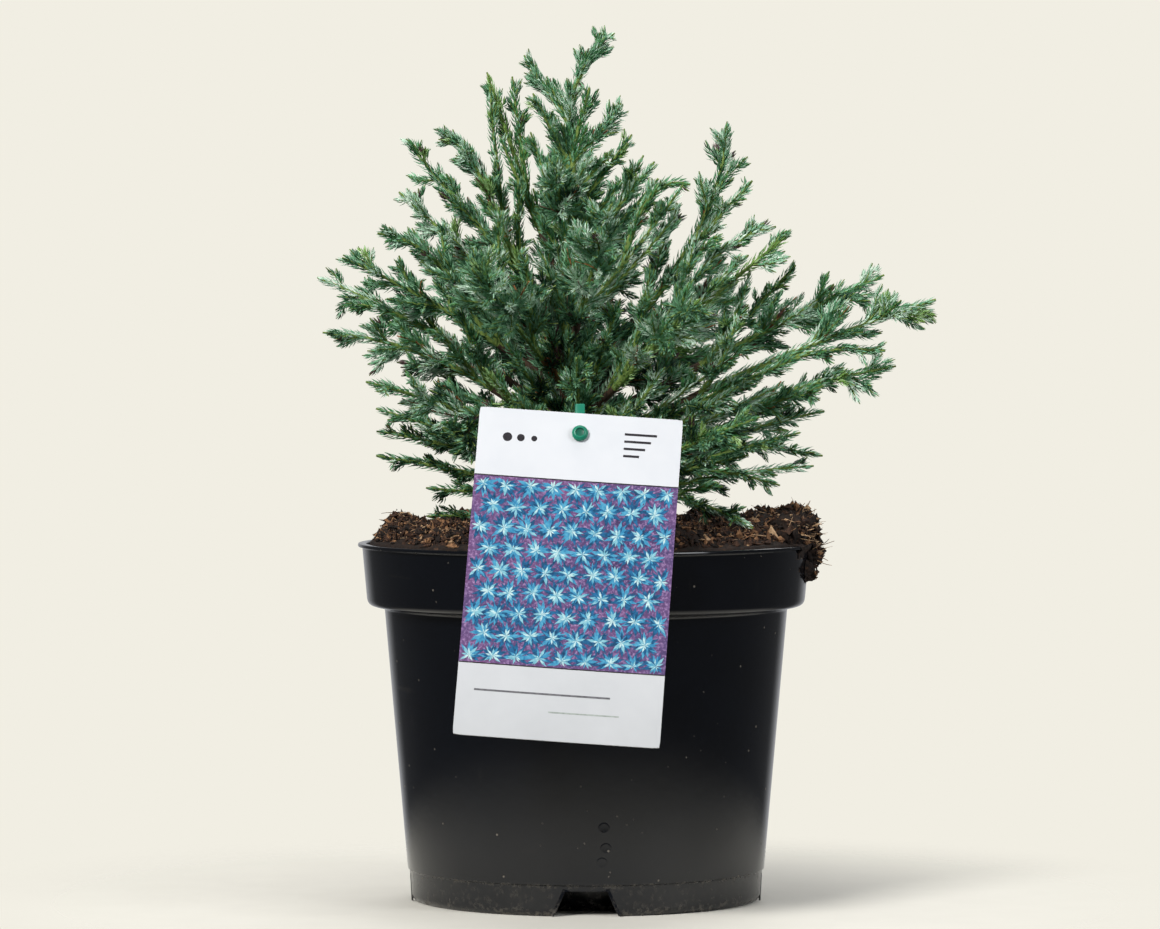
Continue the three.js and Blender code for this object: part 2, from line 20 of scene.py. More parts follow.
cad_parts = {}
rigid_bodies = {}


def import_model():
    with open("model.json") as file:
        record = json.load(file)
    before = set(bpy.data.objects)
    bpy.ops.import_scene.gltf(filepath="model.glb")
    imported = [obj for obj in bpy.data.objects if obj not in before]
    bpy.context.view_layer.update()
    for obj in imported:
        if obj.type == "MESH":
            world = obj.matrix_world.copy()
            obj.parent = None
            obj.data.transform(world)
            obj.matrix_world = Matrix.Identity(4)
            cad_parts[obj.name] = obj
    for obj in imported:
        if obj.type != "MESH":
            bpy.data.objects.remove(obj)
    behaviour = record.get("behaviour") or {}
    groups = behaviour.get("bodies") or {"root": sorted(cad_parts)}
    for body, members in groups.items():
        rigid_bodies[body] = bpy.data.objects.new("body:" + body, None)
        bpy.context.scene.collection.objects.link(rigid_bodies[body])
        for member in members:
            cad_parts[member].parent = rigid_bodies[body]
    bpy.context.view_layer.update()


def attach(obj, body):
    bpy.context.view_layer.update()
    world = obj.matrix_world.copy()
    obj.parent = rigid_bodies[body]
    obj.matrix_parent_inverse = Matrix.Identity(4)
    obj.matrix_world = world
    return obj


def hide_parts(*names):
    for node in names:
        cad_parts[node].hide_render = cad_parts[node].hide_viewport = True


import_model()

log = logging.getLogger("potted_cypress")
MM = 0.001
CLEAR = 0.3
GOLDEN = math.radians(137.5)
RGB = tuple[int, int, int]
XYZ = tuple[float, float, float]
Array = np.ndarray
Shape = bmesh.types.BMesh
Socket = bpy.types.NodeSocket


# Small helpers


def mix(start: float, end: float, share: float) -> float:
    """Returns the value that lies this share of the way from start to end."""
    return start + (end - start) * share


def smoothstep(value: Array, low: float, high: float) -> Array:
    """Eases values from 0 at low to 1 at high."""
    share = np.clip((value - low) / (high - low), 0, 1)
    return share * share * (3 - 2 * share)


def chance(shoot: float, spray: float, use: float) -> float:
    """Gives a number from 0 to 1 that is always the same for the same shoot, spray and use."""
    value = math.sin(shoot * 12.9898 + spray * 78.233 + use * 37.719) * 43758.5453
    return value - math.floor(value)


def unit(vectors: Array) -> Array:
    """Returns the vectors scaled to length 1 along their last axis."""
    return vectors / np.maximum(np.linalg.norm(vectors, axis=-1, keepdims=True), 1e-9)


def srgb(red: int, green: int, blue: int) -> tuple[float, ...]:
    """Turns a screen colour, from 0 to 255, into the linear one with full alpha that a shader takes."""
    parts = (red / 255, green / 255, blue / 255)
    return (*(part / 12.92 if part <= 0.04045 else ((part + 0.055) / 1.055) ** 2.4 for part in parts), 1.0)


def baked(bm: Shape, name: str) -> bpy.types.Mesh:
    """Turns a bmesh, which is freed, into a mesh of this name.

    Args:
        bm: The shape.
        name: The mesh's name.

    Returns:
        The mesh.
    """
    mesh = bpy.data.meshes.new(name)
    bm.to_mesh(mesh)
    bm.free()
    return mesh


def placed(name: str, data: bpy.types.ID) -> bpy.types.Object:
    """Puts a mesh, a lamp or a camera in the scene as an object of this name.

    Args:
        name: The object's name.
        data: What it shows.

    Returns:
        The new object.
    """
    obj = bpy.data.objects.new(name, data)
    bpy.context.scene.collection.objects.link(obj)
    return obj


def extruded(bm: Shape, faces: list, move: XYZ) -> None:
    """Draws faces of a bmesh out along a vector."""
    made = bmesh.ops.extrude_face_region(bm, geom=faces)["geom"]
    bmesh.ops.translate(bm, vec=move, verts=[item for item in made if isinstance(item, bmesh.types.BMVert)])


# Finishes


class Slot(Enum):
    """The record's material slots."""

    POT = "pot_plastic"
    PEAT = "peat"
    BARK = "bark"
    NEEDLES = "needles"
    CARD = "tag_card"
    HOLDER = "holder_plastic"


class Graph:
    """A tree of shader nodes, with a short way to add and join them."""

    def __init__(self, owner: bpy.types.ID) -> None:
        """Takes up the nodes of their owner."""
        self.nodes = owner.node_tree.nodes
        self.links = owner.node_tree.links

    def add(self, kind: str, inputs: dict | None = None, **settings: object) -> bpy.types.Node:
        """Adds a node.

        Args:
            kind: The node's type.
            inputs: Values or sockets for its inputs, by name or number.
            settings: The node's own settings.

        Returns:
            The new node.
        """
        node = self.nodes.new(kind)
        for key, value in settings.items():
            setattr(node, key, value)
        for key, value in (inputs or {}).items():
            if isinstance(value, Socket):
                self.links.new(value, node.inputs[key])
            else:
                node.inputs[key].default_value = value
        return node


class Surface(Graph):
    """The nodes of one material, on the piece's own coordinates."""

    def __init__(self, name: str) -> None:
        """Starts a material of this name with a lone surface shader.

        Args:
            name: The material's name.
        """
        self.material = bpy.data.materials.new(name)
        self.material.use_nodes = True
        super().__init__(self.material)
        self.shader = self.nodes["Principled BSDF"]
        self.place = self.nodes.new("ShaderNodeTexCoord").outputs["Object"]

    def noise(self, scale: float, detail: float, stretch: XYZ = (1, 1, 1), turn: float = 0) -> Socket:
        """Adds a noise pattern on the piece's own coordinates.

        Args:
            scale: Its number of features a metre.
            detail: How many finer layers it has.
            stretch: Scale along each axis, where the pattern is drawn out.
            turn: The offset that sets one pattern apart from the next.

        Returns:
            The pattern's value socket.
        """
        spread = {"Vector": self.place, "Location": (turn, turn * 0.7, 0), "Scale": stretch}
        place = self.add("ShaderNodeMapping", spread).outputs["Vector"]
        pattern = {"Vector": place, "Scale": scale, "Detail": detail, "Roughness": 0.6}
        return self.add("ShaderNodeTexNoise", pattern).outputs["Fac"]

    def ramp(self, value: Socket, *stops: tuple[float, object]) -> Socket:
        """Adds a colour ramp.

        Args:
            value: What drives it.
            stops: Each stop's place and its screen colour, or a grey level.

        Returns:
            The ramp's colour socket.
        """
        node = self.add("ShaderNodeValToRGB", {"Fac": value})
        elements = node.color_ramp.elements
        while len(elements) < len(stops):
            elements.new(0.5)
        for element, (place, colour) in zip(elements, stops):
            element.position = place
            element.color = srgb(*colour) if isinstance(colour, tuple) else (colour, colour, colour, 1)
        return node.outputs["Color"]

    def blend(self, share: Socket, first: object, second: object) -> Socket:
        """Blends two colours.

        Args:
            share: How much of the second shows.
            first: The first screen colour or socket.
            second: The second screen colour or socket.

        Returns:
            The blended colour socket.
        """
        inputs = {0: share}
        for index, value in ((6, first), (7, second)):
            inputs[index] = srgb(*value) if isinstance(value, tuple) else value
        return self.add("ShaderNodeMix", inputs, data_type="RGBA").outputs[2]

    def combine(self, kind: str, first: object, second: object, clamp: bool = False) -> Socket:
        """Adds the result of an operation on two values or sockets, clamped to 0 and 1 where asked."""
        return self.add("ShaderNodeMath", {0: first, 1: second}, operation=kind, use_clamp=clamp).outputs[0]

    def height(self, low: float, high: float) -> Socket:
        """Adds a value that rises with the height on the piece.

        Args:
            low: The height in millimetres where it is 0.
            high: The height in millimetres where it is 1.

        Returns:
            The value socket.
        """
        rise = self.add("ShaderNodeSeparateXYZ", {0: self.place}).outputs["Z"]
        ends = {"Value": rise, "From Min": low * MM, "From Max": high * MM}
        return self.add("ShaderNodeMapRange", ends).outputs["Result"]

    def surface(self, **values: object) -> None:
        """Sets the surface shader's inputs.

        Args:
            values: A number, a colour or a socket for each input, with _ for each space in its name.
        """
        for key, value in values.items():
            socket = self.shader.inputs[key.replace("_", " ")]
            if isinstance(value, Socket):
                self.links.new(value, socket)
            else:
                socket.default_value = value

    def bump(self, value: Socket, strength: float, depth: float) -> None:
        """Lets a pattern raise the surface by this depth in millimetres, with a strength from 0 to 1."""
        node = self.add("ShaderNodeBump", {"Height": value, "Strength": strength, "Distance": depth * MM})
        self.links.new(node.outputs["Normal"], self.shader.inputs["Normal"])


@dataclass(frozen=True)
class Finish:
    """A finish that drifts from a deep to a light colour over a noise pattern, which may raise it."""

    name: str
    deep: RGB
    light: RGB
    relief: float = 0.0
    scale: float = 260
    detail: float = 2
    stretch: XYZ = (1, 1, 1)
    stops: tuple[float, float] = (0.3, 0.68)
    roughness: float = 0.42
    specular: float = 0.5
    strength: float = 0.0

    def material(self) -> bpy.types.Material:
        """Makes the finish.

        Returns:
            The material.
        """
        graph = Surface(self.name)
        drift = graph.noise(self.scale, self.detail, self.stretch)
        colour = graph.ramp(drift, (self.stops[0], self.deep), (self.stops[1], self.light))
        graph.surface(Base_Color=colour, Roughness=self.roughness, Specular_IOR_Level=self.specular)
        if self.relief:
            graph.bump(drift, self.strength, self.relief)
        return graph.material


@dataclass(frozen=True)
class NeedleFinish(Finish):
    """One side of the needles of a spray: a soft drift of colour over a waxy leaf."""

    specular: float = 0.55


@dataclass(frozen=True)
class BarkFinish(Finish):
    """Wood of one age: fine stringy ridges that run along it."""

    relief: float = 0.25
    scale: float = 900
    detail: float = 4
    stretch: XYZ = (1, 1, 0.18)
    stops: tuple[float, float] = (0.34, 0.66)
    roughness: float = 0.8
    strength: float = 0.7


@dataclass(frozen=True)
class InkFinish(Finish):
    """One printed colour of the tag, with a fine drift of tone."""

    scale: float = 700
    detail: float = 3
    stops: tuple[float, float] = (0.35, 0.65)
    roughness: float = 0.3


@dataclass(frozen=True)
class HolderFinish(Finish):
    """Green moulded plastic, slightly waxy, with a faint flow of colour."""

    relief: float = 0.15
    scale: float = 120
    detail: float = 3
    stretch: XYZ = (1, 1, 0.4)
    stops: tuple[float, float] = (0.3, 0.7)
    roughness: float = 0.34
    strength: float = 0.2


@dataclass(frozen=True)
class StemFinish:
    """The main stem: brown and stringy at the foot, and green where it is young."""

    name: str = "stem bark"
    brown_top: float = 192
    green_foot: float = 232

    def material(self) -> bpy.types.Material:
        """Makes the finish, whose colour changes with height.

        Returns:
            The material.
        """
        graph = Surface(self.name)
        strings = graph.noise(700, 5, (1, 1, 0.14))
        patches = graph.noise(90, 3, turn=3)
        brown = graph.ramp(strings, (0.3, (58, 40, 28)), (0.55, (112, 80, 54)), (0.75, (158, 124, 88)))
        green = graph.ramp(strings, (0.3, (92, 118, 48)), (0.7, (150, 168, 84)))
        climb = graph.height(self.brown_top, self.green_foot)
        shifted = graph.combine("ADD", climb, graph.ramp(patches, (0.35, 0.0), (0.65, 0.5)))
        age = graph.combine("SUBTRACT", shifted, 0.25, clamp=True)
        graph.surface(Base_Color=graph.blend(age, brown, green), Roughness=0.72)
        graph.bump(strings, 0.8, 0.35)
        return graph.material


@dataclass(frozen=True)
class PotFinish:
    """Glossy black moulded plastic with dust, specks, scuffs and a painted highlight along the top of its
    foot band.
    """

    name: str = "black pot plastic"
    black: RGB = (8, 10, 15)
    gloss: RGB = (11, 14, 20)
    dust_and_painted_highlight: RGB = (112, 106, 96)

    def material(self) -> bpy.types.Material:
        """Makes the finish: gloss with a faint ripple, specks of dust, a dusty foot and a dashed painted
        highlight along the top of the foot band.

        Returns:
            The material.
        """
        graph = Surface(self.name)
        cloud = graph.noise(26, 4)
        scuffs = graph.noise(160, 5, (1, 1, 0.12), 2)
        rubs = graph.noise(90, 6, (0.2, 0.2, 1.6), 5)
        cells = graph.add("ShaderNodeTexVoronoi", {"Vector": graph.place, "Scale": 170.0, "Randomness": 1.0})
        size = graph.noise(300, 1, turn=9)
        near = graph.ramp(cells.outputs["Distance"], (0.05, 1.0), (0.1, 0.0))
        chosen = graph.ramp(size, (0.5, 0.0), (0.58, 1.0))
        specks = graph.blend(near, (0, 0, 0), chosen)
        # Dust along the edge of the underside, and near the top of the foot band a dashed pale line that is a
        # painted highlight, in the dust colour.
        stops = ((0.0, 0.55), (0.3, 0.12), (0.84, 0.1), (0.95, 0.5), (1.0, 0.0))
        foot = graph.ramp(graph.height(0, 13.5), *stops)
        grit = graph.ramp(graph.noise(420, 5, turn=12), (0.5, 0.0), (0.64, 1.0))
        foot_dust_and_painted_highlight = graph.blend(grit, (0, 0, 0), foot)
        scuffed = graph.ramp(scuffs, (0.66, 0.0), (0.8, 0.06))
        rubbed = graph.ramp(rubs, (0.66, 0.0), (0.76, 0.06))
        marks = graph.combine("MAXIMUM", scuffed, rubbed)
        dirt_and_painted_highlight = graph.combine("MAXIMUM", specks, foot_dust_and_painted_highlight)
        cover = graph.combine("MAXIMUM", marks, dirt_and_painted_highlight)
        plastic = graph.ramp(cloud, (0.35, self.black), (0.7, self.gloss))
        rough = graph.ramp(cover, (0.0, 0.12), (0.12, 0.3), (0.7, 0.8))
        graph.surface(Base_Color=graph.blend(cover, plastic, self.dust_and_painted_highlight), Roughness=rough, IOR=1.5)
        graph.bump(cloud, 0.25, 0.5)
        return graph.material


@dataclass(frozen=True)
class PeatFinish:
    """Moist coarse peat, or one kind of bit in it."""

    name: str
    deep: RGB
    middle: RGB
    light: RGB
    grain: float = 520

    def material(self) -> bpy.types.Material:
        """Makes the finish: crumbly, with fibres of a lighter brown.

        Returns:
            The material.
        """
        graph = Surface(self.name)
        crumbs = graph.noise(self.grain, 6)
        fibres = graph.noise(self.grain * 0.6, 4, (1, 0.2, 1), 4)
        base = graph.ramp(crumbs, (0.36, self.deep), (0.6, self.middle))
        streaks = graph.ramp(fibres, (0.62, 0.0), (0.72, 0.75))
        graph.surface(Base_Color=graph.blend(streaks, base, self.light), Roughness=0.92)
        graph.bump(crumbs, 0.9, 1.0)
        return graph.material


@dataclass(frozen=True)
class CardFinish:
    """White card with a gloss film, its lower part greyed by painted shade."""

    name: str = "white tag card"
    white: RGB = (230, 232, 236)

    def material(self) -> bpy.types.Material:
        """Makes the finish: almost even white with a faint drift and wave, and painted shade that greys it
        towards its foot.

        Returns:
            The material.
        """
        graph = Surface(self.name)
        drift = graph.noise(40, 3)
        # Painted shade: the card is painted greyer at its foot than at its head, blended up its height from
        # 70 to 175 mm.
        foot = graph.ramp(drift, (0.3, (196, 198, 200)), (0.7, (204, 206, 208)))
        head = graph.ramp(drift, (0.3, (222, 225, 230)), (0.7, self.white))
        colour = graph.blend(graph.height(70, 175), foot, head)
        graph.surface(Base_Color=colour, Roughness=0.24, Coat_Weight=0.3, Coat_Roughness=0.12)
        graph.bump(drift, 0.15, 0.3)
        return graph.material


@dataclass(frozen=True)
class GroundFinish:
    """The printed ground of the tag's picture: speckled mauve and plum."""

    name: str = "mauve print"

    def material(self) -> bpy.types.Material:
        """Makes the finish: fine speckle over broad clouds of plum, mauve and rose.

        Returns:
            The material.
        """
        graph = Surface(self.name)
        speckle = graph.noise(900, 3)
        clouds = graph.noise(30, 2, turn=6)
        plum, mauve, violet, rose = (50, 42, 78), (92, 74, 120), (120, 84, 130), (158, 86, 122)
        broad = graph.ramp(clouds, (0.3, plum), (0.45, mauve), (0.6, violet), (0.74, rose))
        fine = graph.ramp(speckle, (0.34, (44, 36, 66)), (0.5, (106, 84, 132)), (0.68, (186, 152, 196)))
        colour = graph.blend(graph.ramp(speckle, (0.3, 0.25), (0.7, 0.7)), broad, fine)
        graph.surface(Base_Color=colour, Roughness=0.26, Coat_Weight=0.3, Coat_Roughness=0.12)
        return graph.material


# Pieces


@dataclass
class Piece:
    """One piece of the object: its name, its slot in the record and the nodes that it stands for."""

    name: str
    slot: Slot
    stands_for: tuple[str, ...] = ()

    def place(self, mesh: bpy.types.Mesh, finishes: list, smooth: float | None) -> None:
        """Puts a finished mesh in the scene and ties it to the frame.

        Args:
            mesh: The mesh, in metres.
            finishes: Its finishes or their materials, in the order of its material numbers.
            smooth: The angle in degrees up to which edges are shaded smooth, or None for flat faces.
        """
        for finish in finishes:
            mesh.materials.append(finish.material() if hasattr(finish, "material") else finish)
        if smooth is None:
            mesh.shade_flat()
        else:
            mesh.shade_smooth()
            mesh.set_sharp_from_angle(angle=math.radians(smooth))
        obj = placed(self.name, mesh)
        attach(obj, "root")
        if self.stands_for:
            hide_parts(*self.stands_for)
        log.info("%s: %d faces, for %d nodes", self.name, len(mesh.polygons), len(self.stands_for))

    def place_bmesh(self, bm: Shape, finishes: list, smooth: float) -> None:
        """Turns a bmesh in millimetres, which is freed, into the piece, with finishes as for a mesh."""
        bmesh.ops.scale(bm, vec=(MM, MM, MM), verts=bm.verts)
        self.place(baked(bm, self.name), finishes, smooth)


@dataclass
class Heap:
    """Many small closed shapes that gather into one mesh of arrays."""

    points: list[Array] = field(default_factory=list)
    faces: list[Array] = field(default_factory=list)
    tones: list[Array] = field(default_factory=list)
    count: int = 0

    def add(self, points: Array, faces: Array, tones: Array) -> None:
        """Adds shapes.

        Args:
            points: Their points in millimetres, as rows of three.
            faces: Their triangles, as rows of three point numbers from 0.
            tones: The material number of each triangle.
        """
        self.points.append(points)
        self.faces.append(faces + self.count)
        self.tones.append(tones)
        self.count += len(points)

    def mesh(self, name: str) -> bpy.types.Mesh:
        """Makes the mesh in metres.

        Args:
            name: The mesh's name.

        Returns:
            The mesh.
        """
        points = np.concatenate(self.points) * MM
        faces = np.concatenate(self.faces).astype(np.int32)
        mesh = bpy.data.meshes.new(name)
        mesh.vertices.add(len(points))
        mesh.vertices.foreach_set("co", points.astype(np.float32).ravel())
        mesh.loops.add(faces.size)
        mesh.loops.foreach_set("vertex_index", faces.ravel())
        mesh.polygons.add(len(faces))
        mesh.polygons.foreach_set("loop_start", np.arange(0, faces.size, 3, dtype=np.int32))
        mesh.polygons.foreach_set("material_index", np.concatenate(self.tones).astype(np.int32))
        mesh.update(calc_edges=True)
        return mesh


def spun(profile: list[tuple[float, float]], steps: int) -> Shape:
    """Spins a profile once round the Z axis into a closed shape.

    Args:
        profile: Radius and height of each point, from the axis back to the axis.
        steps: The number of steps round the axis.

    Returns:
        The shape, with its faces pointing outwards.
    """
    bm = bmesh.new()
    verts = [bm.verts.new((radius, 0, height)) for radius, height in profile]
    edges = [bm.edges.new(pair) for pair in zip(verts, verts[1:])]
    bmesh.ops.spin(
        bm, geom=verts + edges, cent=(0, 0, 0), axis=(0, 0, 1), angle=2 * math.pi, steps=steps, use_merge=True
    )
    bmesh.ops.remove_doubles(bm, verts=bm.verts, dist=1e-4)
    bmesh.ops.recalc_face_normals(bm, faces=bm.faces)
    return bm


def rounded(profile: list[XYZ], steps: int = 4) -> list[tuple[float, float]]:
    """Rounds the corners of a profile.

    Args:
        profile: Radius, height and corner radius of each point.
        steps: The number of edges in each round corner.

    Returns:
        The points of the rounded profile.
    """
    made: list[tuple[float, float]] = []
    for index, (x, y, radius) in enumerate(profile):
        if radius == 0 or index in (0, len(profile) - 1):
            made.append((x, y))
            continue
        corner = Vector((x, y))
        back = Vector(profile[index - 1][:2]) - corner
        on = Vector(profile[index + 1][:2]) - corner
        reach = min(radius, back.length * 0.48, on.length * 0.48)
        start = corner + back.normalized() * reach
        end = corner + on.normalized() * reach
        for k in range(steps + 1):
            t = k / steps
            point = start * (1 - t) ** 2 + corner * 2 * t * (1 - t) + end * t * t
            made.append((point.x, point.y))
    return made


# The pot


@dataclass
class Pot:
    """The black nursery pot."""

    height: float = 148.5
    lip_radius: float = 95
    lip_depth: float = 1.5
    wall: float = 1.6
    collar_top: float = 93.2
    collar_foot_radius: float = 91
    collar_foot: float = 122.5
    body_top: float = 83.9
    body_foot: float = 74.3
    foot_band: float = 12.5
    foot_band_radius: float = 73.5
    foot_edge: float = 2
    ring_width: float = 2.4
    pad_radius: float = 51
    pad_thickness: float = 2.2
    notch_count: int = 4
    notch_height: float = 10.4
    notch_top: float = 17
    notch_foot: float = 27
    notch_depth: float = 12
    notch_border: float = 0.9
    drain_radius: float = 5
    drain_ring: float = 62
    mark_radius: float = 2.0
    marks: tuple = ((7.2, 36.3), (8.0, 27.9), (6.4, 22.0))
    steps: int = 180

    def profile(self) -> list[tuple[float, float]]:
        """Draws the pot's rounded profile.

        Returns:
            Its points, from the axis at the underside to the axis inside.
        """
        inner = self.pad_radius + 2
        channel = self.foot_band - self.wall
        wall = self.wall
        corners = [
            (0, 0, 0),
            (self.pad_radius, 0, 1),
            (inner, channel, 1),
            (self.foot_band_radius - self.ring_width, channel, 1),
            (self.foot_band_radius - self.ring_width, 0, 0.3),
            (self.foot_band_radius - self.foot_edge, 0, 0.6),
            (self.foot_band_radius, self.foot_edge, 1.4),
            (self.foot_band_radius, self.foot_band, 0.25),
            (self.body_foot, self.foot_band + 0.5, 0.3),
            (self.body_top, self.collar_foot - 1, 1.2),
            (self.collar_foot_radius, self.collar_foot + 0.4, 2.6),
            (self.collar_top, self.height - self.lip_depth, 0.8),
            (self.lip_radius, self.height - self.lip_depth, 0.6),
            (self.lip_radius, self.height, 0.7),
            (self.collar_top - wall, self.height, 0.5),
            (self.collar_foot_radius - wall, self.collar_foot + wall, 2),
            (self.body_top - wall, self.collar_foot + wall, 1),
            (self.body_foot - wall, self.foot_band + wall, 1),
            (inner - wall, self.foot_band + wall, 1),
            (self.pad_radius - wall, self.pad_thickness, 1),
            (0, self.pad_thickness, 0),
        ]
        return rounded(corners)

    def cutters(self) -> Shape:
        """Shapes what cuts the notches and the drain holes.

        Returns:
            The blocks and the pins.
        """
        bm = bmesh.new()
        inside = self.foot_band_radius - self.ring_width - 4
        for index in range(self.notch_count):
            turn = Matrix.Rotation(index * 2 * math.pi / self.notch_count, 4, "Z")
            made = bmesh.ops.create_cube(bm, size=1)["verts"]
            for vert in made:
                half, height = self.notch_foot / 2, -1
                if vert.co.z > 0:
                    half, height = self.notch_top / 2, self.notch_height
                depth = -inside - self.notch_depth * (0 if vert.co.y > 0 else 1)
                vert.co = Vector((math.copysign(half, vert.co.x), depth, height))
            bmesh.ops.transform(bm, matrix=turn, verts=made)
            aside = Matrix.Rotation((index + 0.5) * 2 * math.pi / self.notch_count, 4, "Z")
            place = aside @ Matrix.Translation((self.drain_ring, 0, self.foot_band))
            size = {"radius1": self.drain_radius, "radius2": self.drain_radius, "depth": self.foot_band}
            bmesh.ops.create_cone(bm, cap_ends=True, segments=32, matrix=place, **size)
        return bm

    def borders(self, bm: Shape) -> None:
        """Adds the low raised border round each notch, sunk into the foot band.

        Args:
            bm: The bmesh that takes them.
        """
        width, rise, foot = self.notch_border, self.notch_height, 0.4
        low, top = self.notch_foot / 2, self.notch_top / 2
        left, right = -low - width, low + width
        outline = [(left, foot), (-top - width, rise + width), (top + width, rise + width), (right, foot)]
        inner = [(-low, foot), (-top, rise), (top, rise), (low, foot)]
        for index in range(self.notch_count):
            turn = Matrix.Rotation(index * 2 * math.pi / self.notch_count, 4, "Z")
            loops = []
            for over, under in zip(outline, inner):
                ring = []
                for (x, z), out in ((over, -0.5), (over, 0.12), (under, 0.22), (under, -0.5)):
                    radius = self.foot_band_radius + out
                    angle = x / self.foot_band_radius
                    place = Vector((radius * math.sin(angle), -radius * math.cos(angle), z))
                    ring.append(bm.verts.new(turn @ place))
                loops.append(ring)
            for first, second in zip(loops, loops[1:]):
                for k in range(4):
                    bm.faces.new((first[k], first[(k + 1) % 4], second[(k + 1) % 4], second[k]))
            bm.faces.new(loops[0])
            bm.faces.new(reversed(loops[-1]))

    def mark(self, across: float, height: float) -> bpy.types.Mesh:
        """Makes one small round moulding mark, sunk into the front of the wall.

        Args:
            across: Its place across.
            height: Its height.

        Returns:
            The mark's mesh.
        """
        rise = self.collar_foot - self.foot_band
        lean = math.atan2(self.body_top - self.body_foot, rise)
        radius = mix(self.body_foot, self.body_top, (height - self.foot_band) / rise)
        size = self.mark_radius
        sunk = [(0, -0.4), (size + 0.4, -0.4)]
        ridge = [(size + 0.4, 0.01), (size, 0.06), (size - 0.4, 0.03), (0, 0.03)]
        bm = spun(sunk + ridge, 28)
        place = Matrix.Rotation(across / radius, 4, "Z") @ Matrix.Translation((0, -radius, height))
        bmesh.ops.transform(bm, matrix=place @ Matrix.Rotation(math.pi / 2 + lean, 4, "X"), verts=bm.verts)
        return baked(bm, "pot_mark")

    def build(self) -> None:
        """Builds and dresses the pot."""
        body = baked(spun(self.profile(), self.steps), "pot_body")
        cutter_mesh = baked(self.cutters(), "pot_cutters")
        blank, tool = placed("pot_blank", body), placed("pot_tool", cutter_mesh)
        cut = blank.modifiers.new("cut", "BOOLEAN")
        cut.operation = "DIFFERENCE"
        cut.solver = "EXACT"
        cut.object = tool
        depsgraph = bpy.context.evaluated_depsgraph_get()
        done = bpy.data.meshes.new_from_object(blank.evaluated_get(depsgraph))
        bm = bmesh.new()
        bm.from_mesh(done)
        for obj in (blank, tool):
            bpy.data.objects.remove(obj)
        for mesh in (body, cutter_mesh, done):
            bpy.data.meshes.remove(mesh)
        trims = bmesh.new()
        self.borders(trims)
        bmesh.ops.recalc_face_normals(trims, faces=trims.faces)
        for mesh in [baked(trims, "pot_trims")] + [self.mark(*place) for place in self.marks]:
            bm.from_mesh(mesh)
            bpy.data.meshes.remove(mesh)
        Piece("nursery_pot", Slot.POT, ("pot",)).place_bmesh(bm, [PotFinish()], 32)


# The peat


